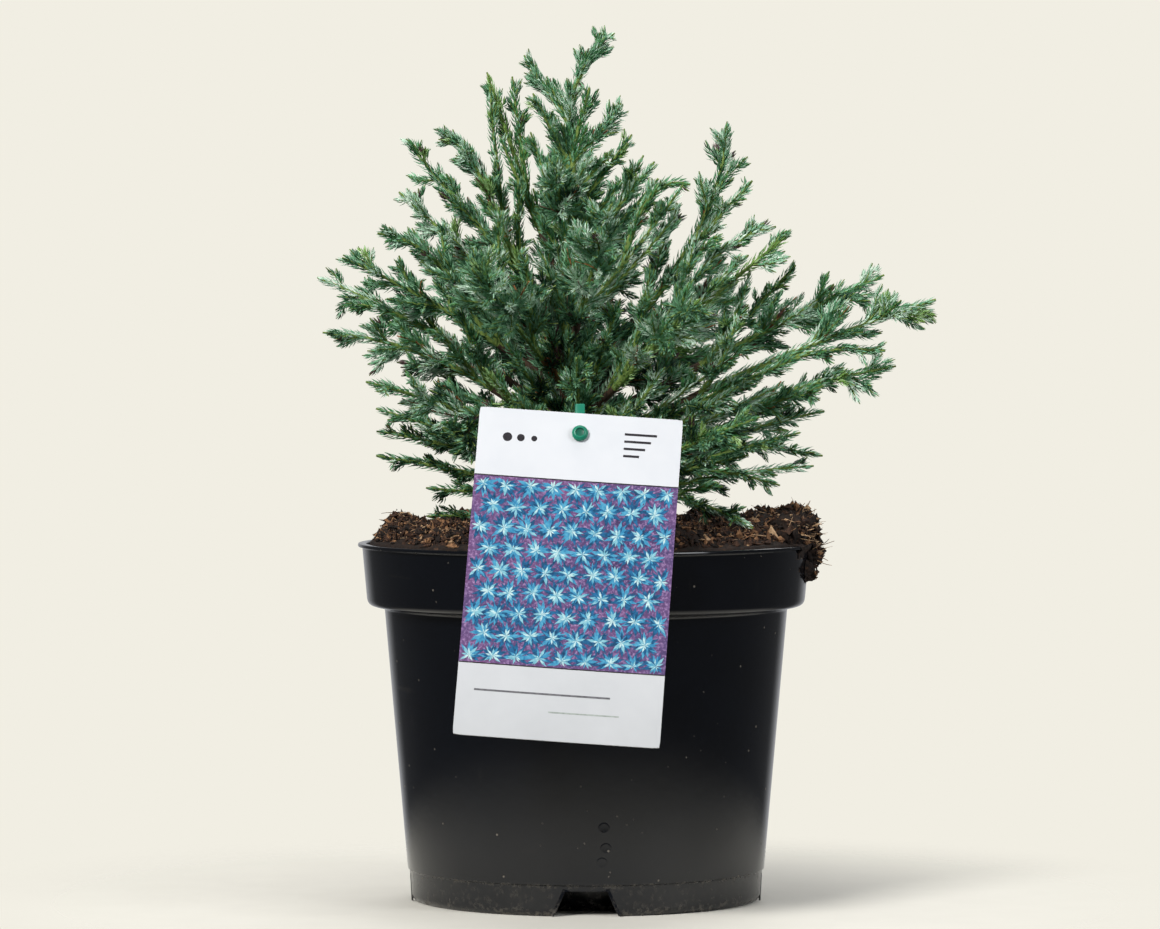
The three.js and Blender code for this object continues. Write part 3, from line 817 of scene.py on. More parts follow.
@dataclass
class Peat:
    """The heaped peat in the pot and the clods that hang over its rim."""

    pot: Pot
    middle: float = 154
    edge: float = 149
    edge_radius: float = 90.8
    shoulder: float = 78
    level: float = 12
    level_out: float = 26
    ripple: float = 0.9
    lump: float = 1.5
    rings: int = 92
    steps: int = 300
    crumbs: int = 14500
    fibres: int = 2200
    heaps: tuple = (
        (-80, 4, 7, 9),
        (-58, -24, 4, 13),
        (-46, 56, 5, 12),
        (4, 78, 6, 11),
        (56, 52, 5, 13),
        (74, -12, 8, 13),
        (42, -64, 4, 11),
        (-22, -72, 3, 10),
        (-30, 20, 3, 15),
        (34, 12, 3, 14),
    )
    clods: tuple = (
        (-17, 87, 153, 9),
        (-4, 86.5, 154, 11),
        (10, 86, 153, 9),
        (-5, 91.5, 145, 7.5),
        (-9, 91.5, 136.5, 5.5),
    )

    def top(self, x: Array, y: Array) -> Array:
        """Gives the height of the peat's surface.

        Args:
            x: Places across.
            y: Places in depth.

        Returns:
            The heights.
        """
        radius = np.hypot(x, y)
        heaps = self.ripple * np.sin(0.21 * x + 0.8) * np.cos(0.19 * y - 0.4)
        for heap_x, heap_y, height, width in self.heaps:
            heaps = heaps + height * np.exp(-((x - heap_x) ** 2 + (y - heap_y) ** 2) / (2 * width * width))
        risen = self.middle + smoothstep(radius, self.level, self.level_out) * heaps
        return mix(risen, self.edge, smoothstep(radius, self.shoulder, self.edge_radius))

    def crumble(self, place: Vector) -> float:
        """Gives the lumpy relief of loose peat.

        Args:
            place: The place in millimetres.

        Returns:
            The relief in millimetres, from about -1 to 1 times the lump size.
        """
        coarse = noise.noise(place * 0.14)
        middle = noise.noise(place * 0.36 + Vector((9, 2, 5)))
        fine = noise.noise(place * 0.9 + Vector((3, 7, 1)))
        return self.lump * (0.8 * coarse + 0.75 * middle + 0.5 * fine)

    def surface(self) -> Shape:
        """Shapes the filling of the pot.

        Returns:
            The filling, with its crumbly top.
        """
        gap = 2 * CLEAR
        pot = self.pot
        wall = pot.wall + gap
        profile = [
            (0, pot.pad_thickness + gap),
            (pot.pad_radius - wall, pot.pad_thickness + gap),
            (pot.pad_radius + 2 - wall, pot.foot_band + wall),
            (pot.body_foot - wall, pot.foot_band + wall),
            (pot.body_top - wall, pot.collar_foot + wall),
            (pot.collar_foot_radius - wall, pot.collar_foot + wall),
            (self.edge_radius - gap, pot.height - pot.lip_depth),
        ]
        for ring in range(self.rings - 1, -1, -1):
            profile.append((self.edge_radius * ring / self.rings, pot.height + 1))
        bm = spun(profile, self.steps)
        for vert in bm.verts:
            if vert.co.z > pot.height:
                x, y = vert.co.x, vert.co.y
                away = math.hypot(x, y)
                fade = 1 - float(smoothstep(np.array(away), self.edge_radius - 4, self.edge_radius))
                calm = 0.3 + 0.7 * float(smoothstep(np.array(away), 6, 12))
                vert.co.z = float(self.top(np.array(x), np.array(y))) + fade * calm * self.crumble(vert.co)
        return bm

    def clod_at(self, turn: float, radius: float, height: float) -> Array:
        """Returns a clod's middle from its turn in degrees, its distance from the axis and its height."""
        angle = math.radians(turn)
        return np.array([radius * math.cos(angle), radius * math.sin(angle), height])

    def overhang(self) -> Shape:
        """Shapes the clods over the rim.

        Returns:
            The clods, with their relief, kept outside the pot.
        """
        bm = bmesh.new()
        pot = self.pot
        for number, (turn, radius, height, size) in enumerate(self.clods):
            centre = Vector(self.clod_at(turn, radius, height))
            place = Matrix.Translation(centre)
            made = bmesh.ops.create_icosphere(bm, subdivisions=4, radius=size * 0.96, matrix=place)
            for vert in made["verts"]:
                out = (vert.co - centre).normalized()
                vert.co += out * (self.crumble(vert.co + Vector((number * 20, 0, 0))) * 1.9 - 1.0)
                away = math.hypot(vert.co.x, vert.co.y)
                if vert.co.z < pot.height + CLEAR:
                    share = min(1.0, (vert.co.z - pot.collar_foot) / (pot.height - pot.collar_foot))
                    least = mix(pot.collar_foot_radius, pot.collar_top, max(0.0, share)) + CLEAR
                    if vert.co.z > pot.height - pot.lip_depth - CLEAR:
                        least = pot.lip_radius + CLEAR
                    if away < least and away > pot.body_top:
                        vert.co.x *= least / away
                        vert.co.y *= least / away
        return bm

    def scatter(self) -> tuple[Array, Array]:
        """Places the crumbs over the surface and the clods.

        Returns:
            The places of the crumbs and their sizes.
        """
        draw = np.random.default_rng(41)
        radius = np.sqrt(draw.random(self.crumbs)) * (self.edge_radius - 2.5)
        angle = draw.random(self.crumbs) * 2 * math.pi
        x, y = radius * np.cos(angle), radius * np.sin(angle)
        size = 0.35 + 1.0 * draw.random(self.crumbs) ** 2.5
        size *= np.where(radius < 13, 0.6, 1)
        places = [np.stack([x, y, self.top(x, y) + 0.35 * size + 0.4 * draw.standard_normal(self.crumbs)], 1)]
        sizes = [size]
        for turn, clod_radius, height, clod in self.clods:
            count = int(clod * 26)
            way = unit(draw.standard_normal((count, 3)))
            spots = self.clod_at(turn, clod_radius, height) + way * clod * 0.98
            away = np.hypot(spots[:, 0], spots[:, 1])
            free = (spots[:, 2] > self.pot.height + 1) | (away > self.pot.lip_radius + 1)
            places.append(spots[free])
            sizes.append((0.4 + 1.1 * draw.random(count) ** 2)[free])
        return np.concatenate(places), np.concatenate(sizes)

    def bits(self) -> Heap:
        """Shapes what lies loose on the peat.

        Returns:
            The crumbs, bark bits and fibres.
        """
        heap = Heap()
        draw = np.random.default_rng(7)
        ball = bmesh.new()
        for corner in np.concatenate([np.eye(3), -np.eye(3)]):
            ball.verts.new(corner)
        bmesh.ops.convex_hull(ball, input=ball.verts[:])
        bmesh.ops.recalc_face_normals(ball, faces=ball.faces[:])
        ball.verts.index_update()
        shape = np.array([vert.co[:] for vert in ball.verts])
        faces = np.array([[vert.index for vert in face.verts] for face in ball.faces])
        ball.free()
        places, sizes = self.scatter()
        count = len(places)
        jag = 1 + 0.32 * draw.standard_normal((count, len(shape), 1))
        squash = 0.55 + 0.9 * draw.random((count, 1, 3))
        chips = shape[None] * np.clip(jag, 0.45, 1.7) * squash * sizes[:, None, None]
        grain = unit(draw.standard_normal((count, 1, 3)) * (1, 1, 0.5))
        chips += (chips * grain).sum(-1, keepdims=True) * grain * (2.2 * draw.random((count, 1, 1)) ** 2)
        points = places[:, None] + chips
        order = faces[None] + (np.arange(count) * len(shape))[:, None, None]
        tone = draw.choice(4, count, p=(0.5, 0.17, 0.04, 0.29))
        heap.add(points.reshape(-1, 3), order.reshape(-1, 3), np.repeat(tone, len(faces)))
        self.add_fibres(heap, draw)
        return heap

    def add_fibres(self, heap: Heap, draw: np.random.Generator) -> None:
        """Adds the thin root fibres and slivers of bark.

        Args:
            heap: The heap that takes them.
            draw: The source of chance.
        """
        for index in range(self.fibres):
            over = index % 18 == 0
            if over:
                turn, radius, height, clod = self.clods[index // 18 % len(self.clods)]
                turn += draw.uniform(-7, 7)
                start = self.clod_at(turn, radius, height)
                way = unit(self.clod_at(turn, 1, 0.4) + 0.7 * draw.standard_normal(3))
                start = start + way * clod * 0.85
                away = math.hypot(start[0], start[1])
                if away < self.pot.lip_radius + 1 and start[2] < self.pot.height + 1:
                    continue
            else:
                angle = draw.uniform(0, 2 * math.pi)
                radius = math.sqrt(draw.random()) * (self.edge_radius - 6)
                x, y = radius * math.cos(angle), radius * math.sin(angle)
                start = np.array([x, y, float(self.top(np.array(x), np.array(y))) + 0.3])
                way = unit(np.append(draw.standard_normal(2), draw.uniform(0.0, 0.25)))
            length = draw.uniform(1.8, 6.5)
            bend = 0.5 * draw.standard_normal(3) * (1, 1, 0.4)
            line = Bend(start, start + way * length * 0.5, start + unit(way + bend) * length)
            thick = draw.uniform(0.1, 0.3)
            heap.add(*tube(line, 3, 3, thick, thick * 0.5, 2 if draw.random() < 0.55 else 1))

    def build(self) -> None:
        """Builds and dresses the filling, the clods and the loose bits."""
        dark = PeatFinish("dark peat", (14, 9, 7), (44, 29, 20), (96, 68, 48))
        clod = PeatFinish("dark crumbs", (12, 8, 6), (38, 25, 18), (74, 52, 38), 900)
        crumb = PeatFinish("peat crumbs", (30, 19, 13), (78, 51, 35), (132, 98, 70), 800)
        bark_bit = PeatFinish("bark bits", (92, 62, 42), (160, 118, 82), (206, 172, 134), 600)
        fibre = PeatFinish("root fibres", (160, 124, 90), (206, 172, 134), (236, 216, 184), 700)
        Piece("peat_filling", Slot.PEAT, ("peat",)).place_bmesh(self.surface(), [dark], 70)
        Piece("peat_clods", Slot.PEAT, ("peat_over_rim",)).place_bmesh(self.overhang(), [dark], 70)
        bits = self.bits().mesh("peat_bits")
        Piece("peat_bits", Slot.PEAT).place(bits, [crumb, bark_bit, fibre, clod], None)


# Lines of growth


@dataclass(frozen=True)
class Bend:
    """A line that bends once, from its start by its middle to its end."""

    start: Array
    middle: Array
    end: Array

    def points(self, at: Array) -> Array:
        """Returns the points at these places from 0 to 1."""
        at = np.asarray(at, float)[..., None]
        return (1 - at) ** 2 * self.start + 2 * at * (1 - at) * self.middle + at**2 * self.end

    def ahead(self, at: Array) -> Array:
        """Returns the directions at these places."""
        at = np.asarray(at, float)[..., None]
        return unit(2 * (1 - at) * (self.middle - self.start) + 2 * at * (self.end - self.middle))

    @property
    def length(self) -> float:
        """The line's length."""
        return float(np.linalg.norm(np.diff(self.points(np.linspace(0, 1, 33)), axis=0), axis=1).sum())


REFERENCE = unit(np.array([0.31, 0.93, 0.19]))


def bent(origin: Array, start: Array, end: Array, length: float) -> Bend:
    """Gives a line of this length from its origin that turns halfway from one direction to the other."""
    middle = origin + start * length / 2
    return Bend(origin, middle, middle + end * length / 2)


def frame_on(ahead: Array) -> tuple[Array, Array]:
    """Gives two directions square to each direction ahead: to the side and up."""
    side = unit(np.cross(ahead, REFERENCE))
    return side, np.cross(ahead, side)


def tube(
    line: Bend, steps: int, sides: int, foot: float, tip: float, tone: int
) -> tuple[Array, Array, Array]:
    """Makes a thin closed tube of wood along a line.

    Args:
        line: The line that it follows.
        steps: The number of its steps.
        sides: The number of its sides.
        foot: Its radius at the start.
        tip: Its radius at the end.
        tone: Its material number.

    Returns:
        Its points, its triangles and the material number of each.
    """
    at = np.linspace(0, 1, steps + 1)
    middle, ahead = line.points(at), line.ahead(at)
    side, up = frame_on(ahead)
    angle = np.arange(sides) * 2 * math.pi / sides
    radius = mix(foot, tip, at)[:, None, None]
    round_ = np.cos(angle)[None, :, None] * side[:, None] + np.sin(angle)[None, :, None] * up[:, None]
    points = np.concatenate([(middle[:, None] + radius * round_).reshape(-1, 3), middle[:1], middle[-1:]])
    faces = []
    last = (steps + 1) * sides
    for k in range(sides):
        on = (k + 1) % sides
        faces.append((last, k, on))
        faces.append((last + 1, steps * sides + on, steps * sides + k))
        for step in range(steps):
            low, high = step * sides, (step + 1) * sides
            faces.append((low + k, high + k, low + on))
            faces.append((low + on, high + k, high + on))
    return points, np.array(faces), np.full(len(faces), tone)


@dataclass
class Stem:
    """The main stem: its line, its radius and its root flare."""

    foot_radius: float = 7.5
    radius: float = 5
    tip_radius: float = 1
    flare: float = 9
    line: tuple = ((0, 2, 154.3), (0, 2, 162), (-8.5, 1, 235), (-6.5, 0, 300), (-6.3, 0, 334))
    sides: int = 22
    rings: int = 170
    relief: float = 0.32
    seed: float = 11

    def point(self, at: float) -> Array:
        """Gives a point of the smooth line through the stem's places.

        Args:
            at: The place along it, from 0 to 1.

        Returns:
            The point.
        """
        places = [np.array(place, float) for place in self.line]
        last = len(places) - 1
        step = min(int(at * last), last - 1)
        share = at * last - step
        before = places[step - 1] if step > 0 else 2 * places[0] - places[1]
        after = places[step + 2] if step + 2 <= last else 2 * places[last] - places[last - 1]
        one, two = places[step], places[step + 1]
        gaps = [np.sum((b - a) ** 2) ** 0.25 for a, b in ((before, one), (one, two), (two, after))]
        out = (one - before) / gaps[0] - (two - before) / (gaps[0] + gaps[1]) + (two - one) / gaps[1]
        into = (two - one) / gaps[1] - (after - one) / (gaps[1] + gaps[2]) + (after - two) / gaps[2]
        out, into = out * gaps[1], into * gaps[1]
        square = -3 * one + 3 * two - 2 * out - into
        cube = 2 * one - 2 * two + out + into
        return one + out * share + square * share**2 + cube * share**3

    def at_height(self, height: float) -> Array:
        """Gives the stem's middle at a height.

        Args:
            height: The height in millimetres.

        Returns:
            The point.
        """
        low, high = 0.0, 1.0
        for _ in range(24):
            middle = (low + high) / 2
            if self.point(middle)[2] < height:
                low = middle
            else:
                high = middle
        return self.point(low)

    def radius_at(self, at: float) -> float:
        """Gives the stem's radius, with its root flare, at a place from 0 to 1 along it.

        Args:
            at: The place.

        Returns:
            The radius.
        """
        height = at * (self.line[-1][2] - self.line[0][2])
        flare = (self.foot_radius - self.radius) * math.exp(-height / self.flare)
        return mix(self.radius, self.tip_radius, at) + flare

    def build(self) -> None:
        """Builds the stem with the relief of its bark."""
        places = [k / self.rings for k in range(self.rings + 1)]
        middles = [self.point(at) for at in places]
        radii = [self.radius_at(at) for at in places]
        bm = wood(middles, radii, self.sides, self.relief, self.seed)
        Piece("main_stem_bark", Slot.BARK, ("main_stem",)).place_bmesh(bm, [StemFinish()], 60)


def wood(
    middles: list[Array], radii: list[float], sides: int, relief: float, seed: float
) -> Shape:
    """Draws a ring out along a line into a limb with the relief of stringy bark.

    Args:
        middles: The middle of each ring.
        radii: The radius of each ring.
        sides: The number of points in a ring.
        relief: The depth of the bark's ridges in millimetres.
        seed: The number that sets one limb's relief apart from the next.

    Returns:
        The limb, closed at both ends.
    """
    bm = bmesh.new()
    ring = bmesh.ops.create_circle(bm, cap_ends=False, segments=sides, radius=1)["verts"]
    edges = list({edge for vert in ring for edge in vert.link_edges})
    rows = [ring]
    for _ in middles[1:]:
        made = bmesh.ops.extrude_edge_only(bm, edges=edges)["geom"]
        edges = [item for item in made if isinstance(item, bmesh.types.BMEdge)]
        rows.append([item for item in made if isinstance(item, bmesh.types.BMVert)])
    spots = np.array(middles)
    ahead = unit(np.gradient(spots, axis=0))
    side, up = frame_on(ahead)
    for k, row in enumerate(rows):
        for vert in row:
            angle = math.atan2(vert.co.y, vert.co.x)
            out = Vector(math.cos(angle) * side[k] + math.sin(angle) * up[k])
            along = spots[k][2] * 0.05 + k * 0.01
            ridge = noise.noise(Vector((2.6 * math.cos(angle), 2.6 * math.sin(angle), along + seed)))
            knot = noise.noise(Vector(spots[k]) * 0.09 + out * 0.8 + Vector((seed, 0, 0)))
            radius = radii[k] + relief * min(1.0, radii[k] / 2.5) * (1.3 * ridge + 0.9 * knot)
            vert.co = Vector(spots[k]) + out * max(0.35, radius)
    bmesh.ops.contextual_create(bm, geom=rows[0])
    bmesh.ops.contextual_create(bm, geom=rows[-1])
    bmesh.ops.recalc_face_normals(bm, faces=bm.faces)
    return bm


# The tag and its holder


@dataclass
class Tag:
    """The picture tag, its print, its pin and the holder behind it."""

    pot: Pot
    width: float = 82
    height: float = 138
    thickness: float = 0.7
    corner: float = 0.8
    lean: float = math.radians(21)
    turn: float = math.radians(-4.2)
    margin: float = 4
    pin_across: float = -2.5
    pin_over_rim: float = 46.9
    pin_below: float = 8.8
    pin_radius: float = 1.5
    head_radius: float = 3.3
    head_depth: float = 2
    holder_width: float = 4
    holder_depth: float = 1.8
    holder_above: float = 4.6
    holder_below: float = 6
    holder_foot: float = 130
    holder_point: float = 4
    picture_top: float = 29
    picture_height: float = 79

    def frame(self) -> Matrix:
        """Works out the tag's own frame.

        Returns:
            The frame: X across the tag, Y up it and Z out of its face, from the pin.
        """
        up = Vector((0, math.sin(self.lean), math.cos(self.lean)))
        pin = Vector((self.pin_across, -self.pot.lip_radius - CLEAR / up.z, self.pot.height))
        pin += up * (self.pin_over_rim / up.z)
        columns = Matrix(((1, 0, 0), (0, up.y, -up.z), (0, up.z, up.y))).to_4x4()
        return Matrix.Translation(pin) @ columns

    def curl(self, x: float, y: float) -> float:
        """Gives how far the card bows out of its plane at a place across it and up from its pin."""
        down = (self.pin_below - y) / self.height
        return 0.55 * (x / 41) ** 2 * (0.4 + 0.6 * down) + 0.5 * math.sin(math.pi * down) - 0.12

    def card(self) -> Shape:
        """Shapes the card.

        Returns:
            The card in its own frame, with the picture's area as material 1.
        """
        bm = bmesh.new()
        bmesh.ops.create_grid(bm, x_segments=30, y_segments=50, size=1)
        middle = self.pin_below - self.height / 2
        for vert in bm.verts:
            x, y = vert.co.x * self.width / 2, vert.co.y * self.height / 2
            over_x = max(0.0, abs(x) - self.width / 2 + self.corner)
            over_y = max(0.0, abs(y) - self.height / 2 + self.corner)
            if over_x > 0 and over_y > 0:
                shrink = max(over_x, over_y) / math.hypot(over_x, over_y)
                x = math.copysign(self.width / 2 - self.corner + over_x * shrink, x)
                y = math.copysign(self.height / 2 - self.corner + over_y * shrink, y)
            vert.co = Vector((x, y + middle, 0))
        top = self.pin_below - self.picture_top
        for level in (top, top - self.picture_height):
            bmesh.ops.bisect_plane(
                bm,
                geom=bm.verts[:] + bm.edges[:] + bm.faces[:],
                dist=1e-4,
                plane_co=(0, level, 0),
                plane_no=(0, 1, 0),
            )
        extruded(bm, bm.faces[:], (0, 0, self.thickness))
        bmesh.ops.recalc_face_normals(bm, faces=bm.faces)
        for face in bm.faces:
            centre = face.calc_center_median()
            if face.normal.z > 0.5 and top - self.picture_height < centre.y < top:
                face.material_index = 1
        for vert in bm.verts:
            vert.co.z += self.curl(vert.co.x, vert.co.y)
        return bm

    def prints(self) -> Heap:
        """Shapes the raised ink.

        Returns:
            An all-over pattern of little rosettes, plain rules and dots.
        """
        heap = Heap()
        draw = np.random.default_rng(23)
        top = self.pin_below - self.picture_top
        foot = top - self.picture_height
        pitch, stray, border = 9.2, 0.5, 2.6
        rows = int(self.picture_height / pitch) + 1
        for row in range(rows):
            for column in range(-7, 8):
                x = (column + (row % 2) * 0.5) * pitch + draw.uniform(-stray, stray)
                y = foot + (row + 0.35) * pitch * 0.98 + draw.uniform(-stray, stray)
                if abs(x) < self.width / 2 - border and foot + border < y < top - border:
                    self.rosette(heap, draw, x, y)
        ink, grey, light_grey = 4, 5, 6
        edge = self.width / 2 - 0.1
        for level in (top, foot):
            self.bar(heap, -edge, edge, level - 0.25, level + 0.25, ink)
        foot_of_card = self.pin_below - self.height
        self.bar(heap, -34, 20, foot_of_card + 18.6, foot_of_card + 19.4, grey)
        self.bar(heap, -4, 24, foot_of_card + 11.4, foot_of_card + 12.0, light_grey)
        for number in range(3):
            self.dot(heap, -29 + 5.4 * number, -3.4, 1.9 - 0.35 * number, ink)
        for number in range(4):
            self.bar(heap, 18, 31 - 2.2 * number, 0.6 - 3.1 * number, 1.6 - 3.1 * number, ink)
        return heap

    def lay(self, heap: Heap, outline: list, faces: list, tone: int, lift: float) -> None:
        """Lays flat ink on the card, from its points and triangles, at this height over it."""
        points = np.array([(x, y, self.thickness + lift + self.curl(x, y)) for x, y in outline])
        heap.add(points, np.array(faces), np.full(len(faces), tone))

    def rosette(self, heap: Heap, draw: np.random.Generator, x: float, y: float) -> None:
        """Adds one rosette of pointed leaflets.

        Args:
            heap: The heap that takes it.
            draw: The source of chance.
            x: Its place across the card.
            y: Its place up the card.
        """
        for tier, (count, reach) in enumerate(((13, 6.1), (11, 4.6), (9, 3.1), (6, 1.7))):
            start = draw.uniform(0, math.pi)
            for k in range(count):
                angle = start + 2 * math.pi * k / count + draw.uniform(-0.2, 0.2)
                length = reach * draw.uniform(0.8, 1.1)
                way = (math.cos(angle), math.sin(angle))
                tip = (x + way[0] * length, y + way[1] * length)
                top = self.pin_below - self.picture_top
                low, high = top - self.picture_height + 0.3, top - 0.3
                if abs(tip[0]) > self.width / 2 - 0.3 or not low < tip[1] < high:
                    continue
                half = 0.13 * length
                mid = (x + way[0] * length * 0.55, y + way[1] * length * 0.55)
                left = (mid[0] - way[1] * half, mid[1] + way[0] * half)
                right = (mid[0] + way[1] * half, mid[1] - way[0] * half)
                tone = min(3, max(0, tier + int(draw.integers(-1, 2))))
                lift = 0.04 + 0.03 * tier + 0.004 * k
                self.lay(heap, [(x, y), right, tip, left], [(0, 1, 2), (0, 2, 3)], tone, lift)

    def bar(self, heap: Heap, left: float, right: float, low: float, high: float, tone: int) -> None:
        """Adds one plain straight rule.

        Args:
            heap: The heap that takes it.
            left: Its left end.
            right: Its right end.
            low: Its lower edge.
            high: Its upper edge.
            tone: Its material number.
        """
        steps = 12
        outline, faces = [], []
        for k in range(steps + 1):
            x = mix(left, right, k / steps)
            outline += [(x, low), (x, high)]
            if k:
                at = 2 * k
                faces += [(at - 2, at, at - 1), (at - 1, at, at + 1)]
        self.lay(heap, outline, faces, tone, 0.03)

    def dot(self, heap: Heap, x: float, y: float, radius: float, tone: int) -> None:
        """Adds one plain round dot.

        Args:
            heap: The heap that takes it.
            x: Its place across the card.
            y: Its place up the card.
            radius: Its radius.
            tone: Its material number.
        """
        sides = 24
        turns = [2 * math.pi * k / sides for k in range(sides)]
        outline = [(x, y)] + [(x + radius * math.cos(turn), y + radius * math.sin(turn)) for turn in turns]
        faces = [(0, k + 1, (k + 1) % sides + 1) for k in range(sides)]
        self.lay(heap, outline, faces, tone, 0.03)

    def holder(self) -> Shape:
        """Shapes the holder.

        Returns:
            The green strip behind the tag, with rounded edges, and the pin with its domed head, whose hollow
            takes a darker green that is painted shade.
        """
        place = self.frame()
        back = -CLEAR
        bend = place @ Vector((0, -self.holder_below, back))
        head = place @ Vector((0, self.pin_below + self.holder_above, back))
        behind = (place.to_3x3() @ Vector((0, 0, -1))) * self.holder_depth
        depth = self.holder_depth
        side = [
            (head.y, head.z),
            (bend.y, bend.z),
            (bend.y, self.holder_foot),
            (bend.y + depth / 2, self.holder_foot - self.holder_point),
            (bend.y + depth, self.holder_foot),
            (bend.y + depth, bend.z),
            (head.y + behind.y, head.z + behind.z),
        ]
        bm = bmesh.new()
        half = self.holder_width / 2
        face = bm.faces.new([bm.verts.new((bend.x - half, y, z)) for y, z in side])
        extruded(bm, [face], (self.holder_width, 0, 0))
        bmesh.ops.recalc_face_normals(bm, faces=bm.faces)
        shape = {"offset": 0.5, "affect": "EDGES", "segments": 3, "profile": 0.5, "clamp_overlap": True}
        bmesh.ops.bevel(bm, geom=bm.edges[:], material=-1, **shape)
        root = back - depth / 2
        under = self.thickness + 0.45
        dome = self.head_depth
        profile = [
            (0, root, 0),
            (self.pin_radius, root, 0),
            (self.pin_radius, under, 0),
            (self.head_radius, under, 0.3),
            (self.head_radius, under + dome * 0.45, 0.7),
            (self.head_radius * 0.72, under + dome * 0.92, 0.8),
            (self.head_radius * 0.55, under + dome * 0.98, 0.25),
            (self.head_radius * 0.5, under + dome * 0.66, 0.25),
            (0, under + dome * 0.6, 0),
        ]
        pin = spun(rounded(profile), 48)
        # The hollow in the pin's head takes the darker green, painted shade.
        for face in pin.faces:
            centre = face.calc_center_median()
            if math.hypot(centre.x, centre.y) < self.head_radius * 0.53 and centre.z > under:
                face.material_index = 1
        bmesh.ops.transform(pin, matrix=place, verts=pin.verts)
        mesh = baked(pin, "pin")
        bm.from_mesh(mesh)
        bpy.data.meshes.remove(mesh)
        return bm

    def build(self) -> None:
        """Builds and dresses the card, its print and its holder."""
        place = self.frame() @ Matrix.Rotation(self.turn, 4, "Z")
        card = self.card()
        bmesh.ops.transform(card, matrix=place, verts=card.verts)
        Piece("tag_card", Slot.CARD, ("picture_tag",)).place_bmesh(card, [CardFinish(), GroundFinish()], 35)
        print_mesh = self.prints().mesh("tag_print")
        scaled = place.copy()
        scaled.translation *= MM
        print_mesh.transform(scaled)
        inks = [
            InkFinish("deep blue ink", (14, 62, 98), (30, 108, 158)),
            InkFinish("sky blue ink", (40, 126, 172), (84, 166, 200)),
            InkFinish("pale blue ink", (110, 176, 196), (150, 204, 216)),
            InkFinish("ice ink", (172, 214, 220), (206, 232, 232)),
            InkFinish("dark ink", (34, 32, 36), (52, 48, 54)),
            InkFinish("grey ink", (92, 92, 96), (120, 120, 124)),
            InkFinish("light grey ink", (150, 158, 152), (176, 184, 178)),
        ]
        Piece("tag_print", Slot.CARD).place(print_mesh, inks, None)
        greens = [
            HolderFinish("holder green", (16, 112, 88), (30, 142, 112)),
            # The darker green is painted shade in the pin's hollow.
            HolderFinish("pin hollow painted shade green", (10, 84, 66), (20, 104, 82)),
        ]
        Piece("green_holder", Slot.HOLDER, ("tag_holder",)).place_bmesh(self.holder(), greens, 40)


# Foliage


class Tone(Enum):
    """The looks of a spray: the numbers of the finishes of its needles' outer and inner faces."""

    SHADE = (0, 7)
    DEEP = (1, 8)
    FOREST = (2, 8)
    BLUE = (3, 9)
    SILVER = (4, 9)
    FRESH = (5, 10)
    PLUM = (6, 7)


# The stem's number where chances are drawn, and the seed of the first line's needles
STEM_NUMBER = 50
FIRST_SEED = 100

NEEDLE_FINISHES = [
    NeedleFinish("shaded needles", (10, 32, 20), (26, 58, 38)),
    NeedleFinish("deep green needles", (22, 60, 36), (52, 104, 66)),
    NeedleFinish("forest green needles", (48, 104, 60), (90, 154, 92)),
    NeedleFinish("blue green needles", (84, 146, 106), (144, 200, 160)),
    NeedleFinish("silver green needles", (164, 208, 176), (214, 240, 220)),
    NeedleFinish("fresh green needles", (86, 130, 58), (134, 174, 90)),
    NeedleFinish("plum needle tips", (56, 38, 42), (94, 68, 70)),
    NeedleFinish("shaded inner faces", (26, 60, 42), (56, 98, 70)),
    NeedleFinish("green inner faces", (88, 142, 106), (146, 196, 156)),
    NeedleFinish("glaucous inner faces", (170, 210, 182), (226, 242, 226)),
    NeedleFinish("fresh inner faces", (128, 170, 104), (180, 212, 148)),
]


class Wood(Enum):
    """The ages of the twigs' wood."""

    OLD = 0
    RUSSET = 1
    YOUNG = 2


OLD_BOUGH = BarkFinish("bough bark", (38, 29, 22), (88, 67, 47), 0.3)
YOUNG_BOUGH = BarkFinish("young bough bark", (96, 60, 34), (172, 118, 70), 0.3)
YOUNG_BOUGHS = ("upper_left", "upper_left_low", "front_left")

WOOD_FINISHES = [
    BarkFinish("brown twigs", (62, 44, 32), (112, 84, 60)),
    BarkFinish("russet twigs", (122, 74, 44), (178, 122, 78), 0.15),
    BarkFinish("green twigs", (80, 108, 47), (136, 157, 78), 0.1),
]


@dataclass
class Shoot:
    """One leafy shoot: its line, its wood, its needles' tone and its order of branching."""

    line: Bend
    length: float
    foot: float
    tip: float
    tone: Tone
    wood: Wood
    order: int
    leaf: float = 1.0
    bare: float = 0.0
    plum: bool = False


@dataclass
class MainLine:
    """The line of one mass of foliage, or of a finer shoot in the scene alone, to its furthest tip.

    The number sets a line's chances apart. The foot is the height where a line leaves the main stem, or the
    share of its parent's length where it leaves that one.
    """

    number: int
    name: str
    tip: XYZ
    foot: float
    reach: float
    sprays: int = 7
    opening: float = 46
    out: float = 0.5
    arch: float = 0.5
    fill: float = 1.0
    bare: float = 0.0
    parent: str = ""
    crest: float = 0.0
    line: Bend | None = None
    length: float = 0.0


def finer(number: int, parent: str, *shape: object, crest: float = 0.0) -> MainLine:
    """Gives a nameless shoot of the scene alone, with its tip, foot and so on as a main line has them."""
    return MainLine(number, "", *shape, parent=parent, crest=crest)


